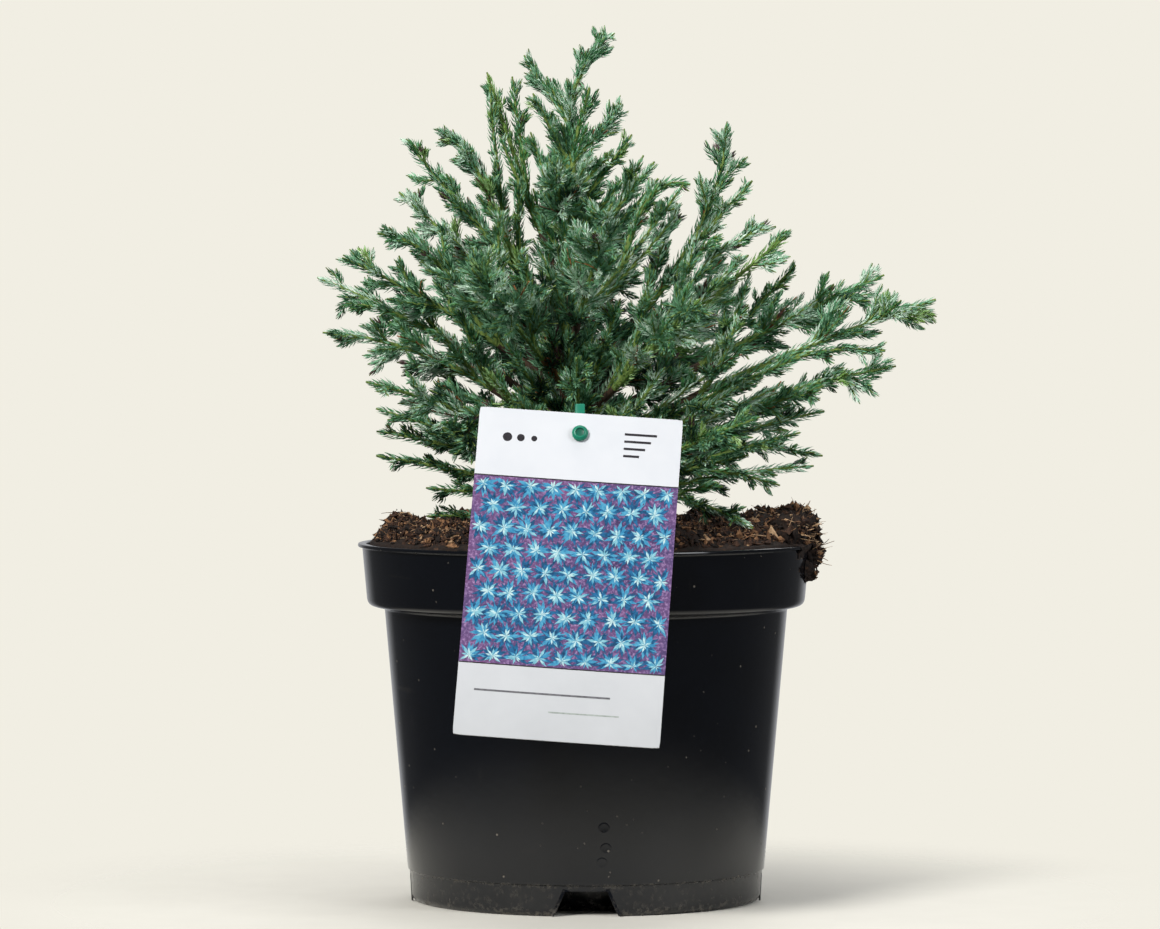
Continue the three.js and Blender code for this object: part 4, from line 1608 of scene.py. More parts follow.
REGIONS = {
    "crown": [
        MainLine(0, "crown_tip", (10.8, -2, 359.5), 334, 15, arch=0.85, sprays=4, opening=25, fill=0.4),
        MainLine(1, "crown_left", (-25.8, 5, 351.4), 322, 15, sprays=3, opening=28, fill=0.6),
        MainLine(2, "crown_right", (15, -5, 329), 306, 16, sprays=4, opening=30, fill=0.9),
        MainLine(3, "crown_back", (-10, 32, 316), 286, 22, sprays=5),
        MainLine(4, "crown_front", (-14, -30, 306), 278, 22, sprays=5),
        MainLine(5, "inner_right", (24, 6, 309.8), 256, 23, arch=0.4),
        MainLine(6, "second_leader", (-41.3, 4, 344.3), 252, 26, arch=0.44, bare=0.3, sprays=9),
        MainLine(17, "inner_right_front", (40, -22, 297), 238, 27, arch=0.4),
        finer(51, "", (1.5, -8, 337.5), 308, 9, 3, 30),
        finer(52, "", (-22, -10, 335), 304, 10, 3, 32),
        finer(53, "", (-23, -8, 319), 274, 13, 4, 34),
        finer(54, "", (19, -10, 318), 282, 10, 4, 34),
        finer(55, "", (30, -4, 300), 254, 14, 4, 36),
        finer(56, "second_leader", (-30.8, 8, 342.7), 0.5, 12, 7, 36, 0.4, 0.4),
        finer(57, "second_leader", (-36, -2, 318), 0.3, 10, 5, 34, 0.5, 0.45),
        finer(58, "second_leader", (-22, 4, 296), 0.15, 13, 5, 36, 0.5, 0.45),
        finer(90, "", (10, -14, 311), 290, 10, 3, 32),
        finer(91, "", (15, -14, 298), 272, 11, 3, 34),
        finer(92, "inner_right", (28.5, -2, 307), 0.5, 9, 4, 30, 0.5, 0.5, 0.7),
    ],
    "upper_left": [
        MainLine(7, "upper_left", (-74, -10, 314.5), 238, 28, bare=0.24, fill=0.6),
        MainLine(8, "upper_left_low", (-78.3, 14, 294.7), 225, 24, arch=0.55, bare=0.28, fill=0.6),
        MainLine(9, "left_high", (-101, -12, 267), 208, 32, arch=0.66, bare=0.32, fill=0.45),
        MainLine(10, "far_left", (-112.7, 18, 259), 195, 27, arch=0.66, bare=0.38, fill=0.3),
        finer(59, "upper_left", (-60, -14, 319), 0.34, 17, 7, 40, 0.4, 0.85),
        finer(60, "upper_left", (-40, -18, 290), 0.3, 14, 5, 38, 0.4, 0.6),
        finer(61, "left_high", (-86, -20, 277), 0.38, 17, 7, 40, 0.4, 0.95),
        finer(62, "left_high", (-66, -24, 262), 0.3, 15, 5, 40, 0.4, 0.8),
        finer(63, "far_left", (-100, 4, 248), 0.5, 13, 6, 38, 0.5, 0.5, 0.9, crest=7),
        finer(70, "left_high", (-36, -20, 288), 0.33, 13, 5, 36, 0.7, 0.4),
        finer(71, "upper_left", (-28, -6, 300), 0.3, 12, 5, 34, 0.6, 0.4),
        finer(72, "left_high", (-60, -4, 280), 0.52, 12, 5, 36, 0.7, 0.4),
        finer(73, "far_left", (-78, 4, 268), 0.5, 10, 5, 36, 0.7, 0.4),
        finer(89, "upper_left", (-40, 0, 338), 0.35, 14, 7, 34, 0.6, 0.4),
    ],
    "lower_left": [
        MainLine(11, "far_left_low", (-109, -14, 236), 185, 27, arch=0.95, bare=0.34, fill=0.25),
        MainLine(12, "left_middle", (-90, -42, 216), 177, 27, arch=0.72, bare=0.3, fill=0.4),
        MainLine(13, "left_low", (-88, 14, 204), 171, 23, arch=0.62, fill=0.6),
        MainLine(14, "left_foot", (-87, -12, 185), 166, 19, arch=0.62, fill=0.7),
        MainLine(15, "left_ground", (-65.5, -28, 160.5), 161.5, 12, arch=0.8, sprays=5),
        finer(41, "", (-66, -22, 172), 165, 13, 7, 42),
        finer(42, "", (-50, -50, 172), 166, 15, 7, 42, 0.5, 0.6),
        finer(43, "", (-87, -8, 195), 169, 11, 7, 38, 0.5, 0.75),
        finer(44, "far_left_low", (-62, -22, 238), 0.4, 14, 4, 44, 0.5, 0.6, 0.8),
        finer(79, "far_left_low", (-52, -26, 250), 0.34, 14, 5, 38, 0.7, 0.4),
        finer(80, "", (-50, -40, 206), 168, 15),
        finer(87, "", (-66, 14, 222), 176, 17),
        finer(88, "", (-50, -14, 196), 170, 15),
    ],
    "upper_right": [
        MainLine(16, "right_leader", (59.2, 4, 322.7), 214, 30, out=0.95, bare=0.34, fill=0.6),
        MainLine(18, "right_high", (84.6, -14, 277.3), 203, 32, bare=0.34, fill=0.9),
        MainLine(19, "far_right_high", (125, 16, 260), 194, 30, arch=0.56, bare=0.4, fill=0.8),
        MainLine(20, "far_right", (145, -10, 249.8), 185, 31, arch=0.62, bare=0.38, sprays=8),
        finer(64, "right_leader", (69, -6, 299), 0.5, 9, 4, 34, 0.5, 0.5, 0.7),
        finer(65, "right_leader", (38, 2, 290), 0.3, 14, 5, 38, 0.4, 0.6),
        finer(66, "right_leader", (54, -12, 276), 0.28, 14, 5, 38, 0.5, 0.6),
        finer(67, "right_high", (79, -2, 280), 0.42, 16, 7, 40, 0.3, 0.85),
        finer(68, "far_right_high", (87, -6, 264), 0.42, 12, 5, 38, 0.5, 0.5, 0.9),
        finer(69, "far_right", (124, -12, 228.5), 0.5, 11, 6, 36, 0.5, 1.35, 0.9),
        finer(74, "right_high", (46, -22, 278), 0.33, 13, 5, 36, 0.7, 0.4),
        finer(75, "far_right_high", (68, -10, 262), 0.42, 12, 5, 36, 0.7, 0.4),
        finer(93, "inner_right_front", (43, -18, 297), 0.5, 9, 4, 30, 0.3, 1.2, 0.7),
        finer(94, "", (37, -16, 284), 234, 13, 7, 46, 0.5, 0.45),
        finer(95, "right_high", (67, -20, 268), 0.5, 11, 4, 36, 0.5, 0.6, 0.9),
    ],
    "lower_right": [
        MainLine(21, "far_right_low", (129, -2, 222), 176, 27, arch=0.75, bare=0.36, fill=0.9),
        MainLine(22, "right_low", (100, 16, 203), 168.5, 23, arch=0.7),
        MainLine(23, "right_foot", (94, -20, 181), 163, 19, arch=0.8, fill=0.9),
        finer(35, "", (68, -50, 156.5), 166, 16, 7, 40, crest=15),
        finer(36, "", (80, -22, 173), 172, 14, 7, 42, crest=14),
        finer(37, "", (78, 0, 191), 170, 15, 7, 42, 0.5, 0.6),
        finer(38, "", (78, -24, 213), 168, 16, 7, 42, 0.5, 0.6),
        finer(39, "", (88, -30, 195), 166, 13, 7, 42, 0.5, 0.6),
        finer(40, "", (62, -46, 214), 172, 17),
        finer(78, "far_right", (62, -26, 242), 0.34, 13, 5, 38, 0.7, 0.4),
        finer(82, "", (98, -14, 185), 176, 12, 7, 38, crest=15),
        finer(83, "", (56, -36, 173), 164, 14, 7, 42, 0.5, 0.6),
        finer(84, "", (74, 12, 218), 172, 17),
        finer(85, "", (52, -20, 204), 170, 16),
        finer(86, "far_right_low", (104, 10, 217), 0.45, 13, 5, 40, 0.5, 0.4),
        finer(96, "", (66, 26, 186), 168, 15, 7, 42, 0.5, 0.6),
        finer(97, "", (66, -44, 186), 166, 14, 7, 42, 0.5, 0.6),
        finer(99, "", (18, -58, 208), 168, 15, 7, 44, 0.5, 0.55),
        finer(101, "", (88, -30, 226), 180, 18, 7, 46, 0.5, 0.6),
        finer(102, "", (62, -6, 226), 182, 17),
        finer(103, "", (86, 4, 206), 174, 15, 7, 46, 0.5, 0.6),
        finer(104, "far_right_low", (98, -20, 214), 0.4, 13, 5, 40, 0.5, 0.4),
    ],
    "front": [
        MainLine(24, "front_high", (10, -66, 288), 226, 32, arch=0.45, bare=0.26),
        MainLine(25, "front_left", (-46, -78, 262), 210, 34, bare=0.3),
        MainLine(26, "front_right", (46, -82, 250), 196, 34, bare=0.32),
        MainLine(27, "front_low_left", (-58, -68, 198), 172, 26, arch=0.62),
        MainLine(28, "front_low_right", (70, -66, 202), 166, 27, arch=0.62),
        finer(46, "", (-4, -62, 226), 178, 22),
        finer(47, "", (-30, -52, 212), 171, 20),
        finer(48, "", (32, -54, 222), 173, 20),
        finer(49, "", (14, -40, 250), 198, 20, 7, 46, 0.5, 0.45),
        finer(50, "", (-30, -28, 272), 214, 18, 7, 46, 0.5, 0.45),
        finer(76, "front_right", (26, -52, 264), 0.38, 15, 5, 38, 0.7, 0.35),
        finer(77, "front_left", (-24, -52, 268), 0.38, 15, 5, 38, 0.7, 0.35),
        finer(81, "", (20, -40, 236), 186, 15),
        finer(98, "", (-42, -54, 222), 172, 15, 7, 44),
        finer(100, "", (-34, -44, 234), 188, 18, 7, 46, 0.5, 0.45),
    ],
    "back_upper": [
        MainLine(29, "back_high", (14, 64, 290), 228, 34, arch=0.45, bare=0.26),
        MainLine(30, "back_left", (-58, 80, 262), 208, 35, bare=0.32),
        MainLine(31, "back_right", (64, 82, 256), 200, 35, bare=0.34),
    ],
    "back_lower": [
        MainLine(32, "back_middle", (-4, 108, 230), 188, 35, arch=0.66, bare=0.34),
        MainLine(33, "back_low_left", (-66, 62, 196), 174, 30, arch=0.62),
        MainLine(34, "back_low_right", (62, 68, 190), 171, 30, arch=0.62),
        finer(45, "", (6, 66, 172), 166, 16, 7, 42, 0.5, 0.6),
    ],
}


@dataclass
class Growth:
    """The growth rule of the part's masses, with the finer steps that the needles need."""

    foot_radius: float = 2.1
    light_radius: float = 1.2
    long_line: float = 150
    tip_radius: float = 0.7
    first_spray: float = 0.12
    last_spray: float = 0.9
    opening_spread: float = math.radians(9)
    forward: float = 0.3
    lift: float = 0.16
    shortest: float = 0.42
    slimmest: float = 0.6
    weakest: float = 0.85
    strongest: float = 1.1
    tries: tuple = (1, 0.8, 0.64, 0.5, 0.38)
    samples: int = 14
    first_bough: float = 0.13
    finer: int = 5
    lean: float = 0.76
    sway: float = 2.1
    past_tip: float = 2
    outer_share: float = 0.75
    finer_shortest: float = 0.38
    old_share: float = 0.6
    russet_share: float = 0.22
    plum_share: float = 0.08
    spray_foot: float = 0.75
    slim_foot: float = 0.55
    spray_tip: float = 0.28
    least: float = 4.6
    room: float = 1.2
    first_shootlet: float = 0.1
    last_shootlet: float = 0.72
    shootlet_pitch: float = 4.8
    shootlet_opening: float = math.radians(37)
    shootlet_longest: float = 15
    shootlet_least: float = 4.5
    shootlet_tries: tuple = (1, 0.75, 0.55)
    shootlet_foot: float = 0.4
    shootlet_tip: float = 0.22
    stem_stages: tuple = (240, 262, 284, 304, 320, 335.5)
    stem_tries: tuple = (1, 0.84, 0.7, 0.58, 0.48, 0.4)
    stem_foot: float = 164
    stem_top: float = 331
    stem_sparse: float = 0.74
    stem_pitch: float = 1.5
    stem_longest: float = 44
    stem_shortest: float = 20
    stem_room: float = 1.7
    shootlet_room: float = 0.4


@dataclass
class PaintedLighting:
    """Painted light and shade: how light the colour of a spray is painted by its place in the crown."""

    aside: float = 4
    radius: float = 105
    foot: float = 165
    height: float = 190
    outer: float = 0.46
    upper: float = 0.64
    chance: float = 0.42


@dataclass
class Leafing:
    """The size and the lie of single needles."""

    length: float = 4.8
    width: float = 0.86
    thickness: float = 0.22
    pitch: float = 0.37
    main_pitch: float = 0.42
    angle: float = math.radians(28)
    tip_angle: float = math.radians(8)
    belly: float = 0.4
    bow: float = 0.05
    first_gap: float = 0.4
    end_gap: float = 0.62
    turn_spread: float = 0.22
    angle_spread: float = 0.09
    tip_loss: float = 0.3
    pale_share: float = 0.3
    plum_from: float = 0.72
    clear: float = 0.3


class Room:
    """The space that each main shoot has to itself."""

    def __init__(self, lines: list[MainLine], stem: Stem, tag: Tag, peat: Peat, samples: int) -> None:
        """Samples every line.

        Args:
            lines: The main lines.
            stem: The main stem.
            tag: The tag, whose space is kept clear.
            peat: The peat, whose surface is kept clear.
            samples: The number of steps along each line.
        """
        self.lines = [line.line.points(np.linspace(0, 1, samples + 1)) for line in lines]
        self.starts = np.stack([points[:-1] for points in self.lines])
        self.ends = np.stack([points[1:] for points in self.lines])
        stem_points = np.array([stem.point(at) for at in np.linspace(0, 1, 2 * samples + 1)])
        self.stem_starts, self.stem_ends = stem_points[:-1], stem_points[1:]
        self.stem, self.tag, self.peat = stem, tag, peat
        self.into_tag = np.array(tag.frame().inverted())

    @staticmethod
    def distance(points: Array, starts: Array, ends: Array) -> Array:
        """Measures from points to pieces of line.

        Args:
            points: The points, as rows of three.
            starts: Where the pieces start.
            ends: Where they end.

        Returns:
            The distance of each point to each piece.
        """
        run = ends - starts
        share = ((points[:, None] - starts) * run).sum(-1) / np.maximum((run * run).sum(-1), 1e-9)
        nearest = starts + np.clip(share, 0, 1)[..., None] * run
        return np.linalg.norm(points[:, None] - nearest, axis=-1)

    def at(self, points: Array, own: int) -> Array:
        """Gives the radius of the largest ball round each point that stays in one mass's space.

        Args:
            points: The points.
            own: The number of the mass.

        Returns:
            The radii, below 0 outside that space.
        """
        count, pieces = self.starts.shape[:2]
        every = self.distance(points, self.starts.reshape(-1, 3), self.ends.reshape(-1, 3))
        nearest = every.reshape(len(points), count, pieces).min(-1)
        near = nearest[:, own].copy()
        nearest[:, own] = np.inf
        room = (nearest.min(1) - near - CLEAR) / 2
        stem_room = self.distance(points, self.stem_starts, self.stem_ends).min(1) - self.stem.radius - CLEAR
        return np.minimum(np.minimum(room, stem_room), self.outside(points) - 1)

    def by_stem(self, points: Array) -> Array:
        """Gives how far points near the main stem are clear of every main line's wood."""
        every = self.distance(points, self.starts.reshape(-1, 3), self.ends.reshape(-1, 3))
        return np.minimum(every.min(1), self.outside(points) + 1)

    def outside(self, points: Array) -> Array:
        """Gives how far points are clear of the tag, its holder and the peat.

        Args:
            points: The points.

        Returns:
            The distances, below 0 inside them.
        """
        tag = self.tag
        seen = points @ self.into_tag[:3, :3].T + self.into_tag[:3, 3]
        behind = -seen[:, 2] - tag.holder_depth
        beside = np.abs(seen[:, 0]) - tag.width / 2 - tag.margin + 1
        above = seen[:, 1] - tag.pin_below - tag.holder_above
        over_peat = points[:, 2] - self.peat.top(points[:, 0], points[:, 1])
        return np.minimum(np.max([behind, beside, above], axis=0), over_peat)


@dataclass
class Foliage:
    """The boughs, twigs and needles of every mass."""

    stem: Stem
    tag: Tag
    peat: Peat
    growth: Growth = field(default_factory=Growth)
    leafing: Leafing = field(default_factory=Leafing)
    painted_lighting: PaintedLighting = field(default_factory=PaintedLighting)

    def __post_init__(self) -> None:
        """Lays out every main line, in the order of their numbers, and the space that each has."""
        every = [line for lines in REGIONS.values() for line in lines]
        self.lines = sorted(every, key=lambda line: line.number)
        by_name = {line.name: line for line in self.lines}
        for line in self.lines:
            end = np.array(line.tip, float)
            if line.parent:
                start = by_name[line.parent].line.points(line.foot)
            else:
                start = self.stem.at_height(line.foot)
            middle = start + (end - start) * line.out
            middle[2] = mix(start[2], end[2], line.arch) + line.crest
            line.line = Bend(start, middle, end)
            line.length = line.line.length
        self.room = Room(self.lines, self.stem, self.tag, self.peat, self.growth.samples)

    def line_radius(self, line: MainLine, at: float) -> float:
        """Gives the radius of a main line's own wood at a place along it.

        Args:
            line: The main line.
            at: The place along it.

        Returns:
            The radius in millimetres.
        """
        rule = self.growth
        foot = mix(rule.light_radius, rule.foot_radius, min(1, line.length / rule.long_line))
        return mix(foot, rule.tip_radius, at)

    def tone(self, index: int, number: float, place: Array) -> Tone:
        """Deals the tone of a spray from its place in the crown and from chance: painted shade, in darker
        tones, low and inside the crown, and painted light, in lighter tones, high and outside it.

        Args:
            index: The number of the main line.
            number: The spray's number.
            place: The spray's tip.

        Returns:
            The tone.
        """
        lit = self.painted_lighting
        out = math.hypot(place[0] + lit.aside, place[1]) / lit.radius
        high = (place[2] - lit.foot) / lit.height
        # Painted light and shade: the tone is lighter out from the axis and up the crown, darker inside and
        # low.
        light = lit.outer * out + lit.upper * high + lit.chance * (chance(index, number, 11) - 0.5)
        draw = chance(index, number, 12)
        if light < 0.4:
            return Tone.SHADE if draw < 0.45 else Tone.DEEP if draw < 0.8 else Tone.FOREST
        if draw < 0.06:
            return Tone.FRESH
        if light < 0.6:
            return Tone.DEEP if draw < 0.46 else Tone.FOREST if draw < 0.74 else Tone.BLUE
        if draw < 0.32:
            return Tone.DEEP
        return Tone.FOREST if draw < 0.5 else Tone.BLUE if draw < 0.82 else Tone.SILVER

    def side_line(self, line: MainLine, number: float, share: float, own: bool) -> tuple[Bend, float]:
        """Lays out one side spray by the part's own rule.

        Args:
            line: The main line.
            number: The spray's number, which may lie between two of the part's sprays.
            share: The share of its full length.
            own: Whether it is one of the part's sprays. The finer ones between them lean forward.

        Returns:
            The spray's line and its length.
        """
        rule = self.growth
        place = (number + 0.5) / line.sprays
        at = mix(line.bare, 1, mix(rule.first_spray, rule.last_spray, place))
        origin, ahead = line.line.points(at), line.line.ahead(at)
        side, up = frame_on(ahead)
        turn = number * GOLDEN + 2 * math.pi * chance(line.number, 0, 1)
        opening = math.radians(line.opening) * (1 if own else rule.lean)
        opening += rule.opening_spread * (2 * chance(line.number, number, 2) - 1)
        vigour = mix(rule.weakest, rule.strongest, chance(line.number, number, 3))
        shortest = rule.shortest if own else rule.finer_shortest
        slim = mix(1, mix(rule.slimmest, 1, line.fill), max(0, place))
        length = share * line.reach * mix(1, shortest, max(0, place)) * vigour * slim
        if not own:
            length = min(length, ((1 - at) * line.length + rule.past_tip) / math.cos(opening))
        out = side * math.cos(turn) + up * math.sin(turn)
        start = ahead * math.cos(opening) + out * math.sin(opening)
        end = start + ahead * rule.forward + np.array([0, 0, rule.lift])
        if not own:
            end = end + rule.sway * self.sway(line.number, number)
        return bent(origin, start, unit(end), length), length

    def sway(self, shoot: float, number: float) -> Array:
        """Gives the chance part of a shoot's bend, as a direction with a little more droop than lift."""
        across = [chance(shoot, number, use) - 0.5 for use in (31, 32)]
        return np.array([*across, 0.7 * chance(shoot, number, 33) - 0.42])

    def sprays(self, line: MainLine) -> list[Shoot]:
        """Grows the side sprays of a main line, cut back where they would leave its space.

        Args:
            line: The main line.

        Returns:
            The sprays.
        """
        rule = self.growth
        lowest = (rule.first_bough - line.bare) / (1 - line.bare)
        lowest = (lowest - rule.first_spray) / (rule.last_spray - rule.first_spray) * line.sprays - 0.5
        made = []
        for step in range(math.ceil(lowest * rule.finer), (line.sprays - 1) * rule.finer + 3):
            number = step / rule.finer
            place = (number + 0.5) / line.sprays
            own = step % rule.finer == 0 and step >= 0
            share = mix(1, rule.outer_share * line.fill, smoothstep(place, 0.1, 0.75))
            if not own and chance(line.number, number, 5) > share:
                continue
            scale = 1 if own else mix(0.75, 1.2, chance(line.number, number, 4))
            for share in rule.tries:
                side, length = self.side_line(line, number, share * scale, own)
                if length < rule.least * 0.7:
                    break
                room = self.room.at(side.points(np.linspace(0.25, 1, 4)), line.number)
                if room.min() > rule.room:
                    # The spray's tone carries the painted light and shade of its tip's place.
                    tone = self.tone(line.number, number, side.end)
                    old = place < 0.25 and chance(line.number, number, 6) < rule.old_share
                    wood = Wood.OLD if old else Wood.YOUNG
                    if place < 0.5 and chance(line.number, number, 7) < rule.russet_share:
                        wood = Wood.RUSSET
                    plum = chance(line.number, number, 8) < rule.plum_share
                    foot = rule.spray_foot if length > 14 else rule.slim_foot
                    made.append(Shoot(side, length, foot, rule.spray_tip, tone, wood, 1, 1.0, 0.05, plum))
                    break
        return made

    def shootlets(self, index: int, parent: Shoot, seed: float, room: Callable) -> list[Shoot]:
        """Grows the short shoots of a side spray, turn about to its left and right.

        Args:
            index: The number of the main line.
            parent: The side spray.
            seed: The number that sets this spray's chances apart.
            room: The rule that gives the room round points.

        Returns:
            The short shoots.
        """
        rule = self.growth
        count = int(parent.length * (rule.last_shootlet - rule.first_shootlet) / rule.shootlet_pitch + 0.6)
        if count < 1:
            return []
        tilt = chance(index, seed, 21) * math.pi
        waiting = []
        for number in range(count):
            at = mix(rule.first_shootlet, rule.last_shootlet, (number + 0.5) / count)
            origin, ahead = parent.line.points(at), parent.line.ahead(at)
            side, up = frame_on(ahead)
            turn = tilt + math.pi * (number % 2) + 0.7 * (chance(seed, number, 22) - 0.5) + 0.16 * number
            opening = rule.shootlet_opening * mix(0.8, 1.2, chance(seed, number, 23))
            out = side * math.cos(turn) + up * math.sin(turn)
            start = ahead * math.cos(opening) + out * math.sin(opening)
            sway = 1.3 * rule.sway * self.sway(seed, number)
            end = unit(start + ahead * 0.9 + np.array([0, 0, 0.2]) + sway)
            free = (1 - at) * parent.length
            length = min(rule.shootlet_longest, 4.5 + 0.62 * free) * mix(0.8, 1.15, chance(seed, number, 24))
            waiting.append((number, origin, start, end, length))
        made = []
        for share in rule.shootlet_tries:
            tried = []
            for number, origin, start, end, length in waiting:
                long_enough = length * share >= rule.shootlet_least
                tried.append(bent(origin, start, end, length * share) if long_enough else None)
            lines = [small for small in tried if small]
            if not lines:
                break
            ends = np.concatenate([small.points(np.array([0.5, 1.0])) for small in lines])
            rooms = iter(room(ends).reshape(-1, 2).min(1))
            left = []
            for item, small in zip(waiting, tried):
                if small is None:
                    continue
                if next(rooms) < rule.shootlet_room:
                    left.append(item)
                    continue
                number, length = item[0], item[4] * share
                # A shootlet keeps its spray's tone, or takes the painted light and shade of its own tip's
                # place.
                same = chance(seed, number, 25) < 0.6
                tone = parent.tone if same else self.tone(index, seed + number, small.end)
                plum = chance(seed, number, 26) < 0.03
                foot, tip = rule.shootlet_foot, rule.shootlet_tip
                made.append(Shoot(small, length, foot, tip, tone, Wood.YOUNG, 2, 0.92, 0.04, plum))
            waiting = left
        return made

    def grow(self, line: MainLine) -> list[Shoot]:
        """Grows all the shoots of one mass.

        Args:
            line: The main line.

        Returns:
            The main shoot and all that branches from it.
        """
        start = line.bare
        whole = line.line
        main = Bend(whole.points(start), (1 - start) * whole.middle + start * whole.end, whole.end)
        # The main shoot takes the painted light and shade of its tip's place, lifted out of the darkest
        # painted shade.
        tone = self.tone(line.number, 90, whole.end)
        if tone is Tone.SHADE:
            tone = Tone.DEEP
        bare = 0.0 if line.bare else 1.5 / line.length
        foot = self.line_radius(line, start)
        made = [Shoot(main, main.length, foot, 0.4, tone, Wood.YOUNG, 0, 1.0, bare)]
        sides = self.sprays(line)
        made += sides
        for number, spray in enumerate(sides):
            seed = line.number * 31.7 + number * 1.13 + 2
            made += self.shootlets(line.number, spray, seed, lambda points: self.room.at(points, line.number))
        return made

    def needles(self, heap: Heap, shoots: list[Shoot], seed: int) -> None:
        """Sets the needles on shoots.

        Args:
            heap: The heap that takes them.
            shoots: The shoots.
            seed: The seed of their small differences.
        """
        draw = np.random.default_rng(seed)
        leaf = self.leafing
        for shoot in shoots:
            size = leaf.length * shoot.leaf
            first = shoot.bare * shoot.length + leaf.first_gap
            last = max(first + 1, shoot.length - leaf.end_gap * size)
            pitch = leaf.main_pitch if shoot.order == 0 else leaf.pitch
            count = max(4, int((last - first) / pitch))
            along = (first + (last - first) * (np.arange(count) + 0.5) / count) / shoot.length
            turn = np.arange(count) * GOLDEN + draw.normal(0, leaf.turn_spread, count)
            turn += draw.uniform(0, 6.3)
            middle, ahead = shoot.line.points(along), shoot.line.ahead(along)
            side, up = frame_on(ahead)
            out = np.cos(turn)[:, None] * side + np.sin(turn)[:, None] * up
            across = np.cross(ahead, out)
            to_tip = smoothstep((shoot.length * (1 - along) - 0.5 * size) / size, 1.2, 0)
            angle = mix(leaf.angle, leaf.tip_angle, to_tip) + draw.normal(0, leaf.angle_spread, count)
            length = size * (1 - leaf.tip_loss * to_tip) * draw.uniform(0.82, 1.1, count)
            width = leaf.width * shoot.leaf * draw.uniform(0.85, 1.12, count)
            radius = mix(shoot.foot, shoot.tip, along)
            foot = middle + out * (radius * 0.8)[:, None]
            cos, sin = np.cos(angle)[:, None], np.sin(angle)[:, None]
            way = ahead * cos + out * sin
            outer = out * cos - ahead * sin
            bow = (leaf.bow * length * draw.uniform(0.0, 1.6, count))[:, None]
            belly = foot + way * (length * leaf.belly)[:, None] + outer * (bow + leaf.thickness * shoot.leaf)
            tip = foot + way * length[:, None] - outer * bow * 0.6
            half = (width / 2)[:, None]
            points = np.stack([foot, belly + across * half, belly - across * half, tip], axis=1)
            outer_tone, inner_tone = shoot.tone.value
            tones = np.tile([outer_tone, outer_tone, inner_tone, inner_tone], (count, 1))
            tones[draw.random(count) < leaf.pale_share, :2] = inner_tone
            if shoot.plum:
                tones[int(count * leaf.plum_from):] = Tone.PLUM.value[0]
            shape = np.array([(0, 2, 1), (3, 1, 2), (0, 3, 2), (0, 1, 3)])
            faces = shape[None] + (np.arange(count) * 4)[:, None, None]
            keep = self.room.outside(tip) > leaf.clear
            if not keep.all():
                points, tones = points[keep], tones[keep]
                faces = faces[: keep.sum()]
            heap.add(points.reshape(-1, 3), faces.reshape(-1, 3), tones.reshape(-1))

    def twigs(self, heap: Heap, shoots: list[Shoot]) -> None:
        """Adds the wood of shoots, with fewer steps and sides on finer ones.

        Args:
            heap: The heap that takes it.
            shoots: The shoots.
        """
        for shoot in shoots:
            steps, sides = ((14, 6), (5, 4), (2, 3))[shoot.order]
            heap.add(*tube(shoot.line, steps, sides, shoot.foot, shoot.tip, shoot.wood.value))

    def stem_shoots(self) -> list[Shoot]:
        """Grows the needles and the short shoots of the young top of the main stem.

        Returns:
            The shoots, those along the stem itself first.
        """
        made = []
        rule = self.growth
        stem_foot = self.stem.line[0][2]
        stem_height = self.stem.line[-1][2] - stem_foot
        for low, high in zip(rule.stem_stages, rule.stem_stages[1:]):
            start, end = self.stem.at_height(low), self.stem.at_height(high)
            shares = [(height - stem_foot) / stem_height for height in (low, high)]
            thick = [self.stem.radius_at(share) + 0.1 for share in shares]
            line = Bend(start, (start + end) / 2, end)
            made.append(Shoot(line, high - low, *thick, Tone.BLUE, Wood.YOUNG, 0, 1.1, 0.0))
        climbing = rule.stem_top - rule.stem_foot

        def beside(points: Array) -> Array:
            """Gives the room of the short shoots, which keep further from the wood."""
            return self.room.by_stem(points) - 2

        for number in range(int(climbing / rule.stem_pitch)):
            height = rule.stem_foot + rule.stem_pitch * number
            origin = self.stem.at_height(height)
            turn = number * GOLDEN
            climb = (height - rule.stem_foot) / climbing
            if climb > rule.stem_sparse and number % 2:
                continue
            opening = math.radians(mix(64, 36, climb) * mix(0.65, 1.2, chance(STEM_NUMBER, number, 1)))
            out = np.array([math.cos(turn), math.sin(turn), 0])
            start = out * math.sin(opening) + np.array([0, 0, math.cos(opening)])
            end = unit(start + np.array([0, 0, 0.35]))
            for share in rule.stem_tries:
                longest = mix(rule.stem_longest, rule.stem_shortest, math.sqrt(climb))
                length = longest * share * mix(0.75, 1.15, chance(STEM_NUMBER, number, 2))
                line = bent(origin, start, end, length)
                if self.room.by_stem(line.points(np.array([0.55, 0.8, 1.0]))).min() > rule.stem_room:
                    tone = (Tone.DEEP, Tone.FOREST, Tone.BLUE)[number % 3]
                    plum = chance(STEM_NUMBER, number, 3) < 0.1
                    made.append(Shoot(line, length, 0.7, 0.25, tone, Wood.YOUNG, 1, 1.0, 0.1, plum))
                    made += self.shootlets(STEM_NUMBER, made[-1], number, beside)
                    break
        return made

    def boughs(self) -> None:
        """Builds the boughs from the stem to their masses, with the relief of their bark."""
        for line in self.lines:
            if not line.bare:
                continue
            at = np.linspace(0, line.bare, 26)
            radii = [self.line_radius(line, share) * 1.02 for share in at]
            bm = wood(list(line.line.points(at)), radii, 12, 0.22, line.number * 3.1)
            finish = YOUNG_BOUGH if line.name in YOUNG_BOUGHS else OLD_BOUGH
            Piece("bough_bark_" + line.name, Slot.BARK, ("bough_" + line.name,)).place_bmesh(bm, [finish], 60)

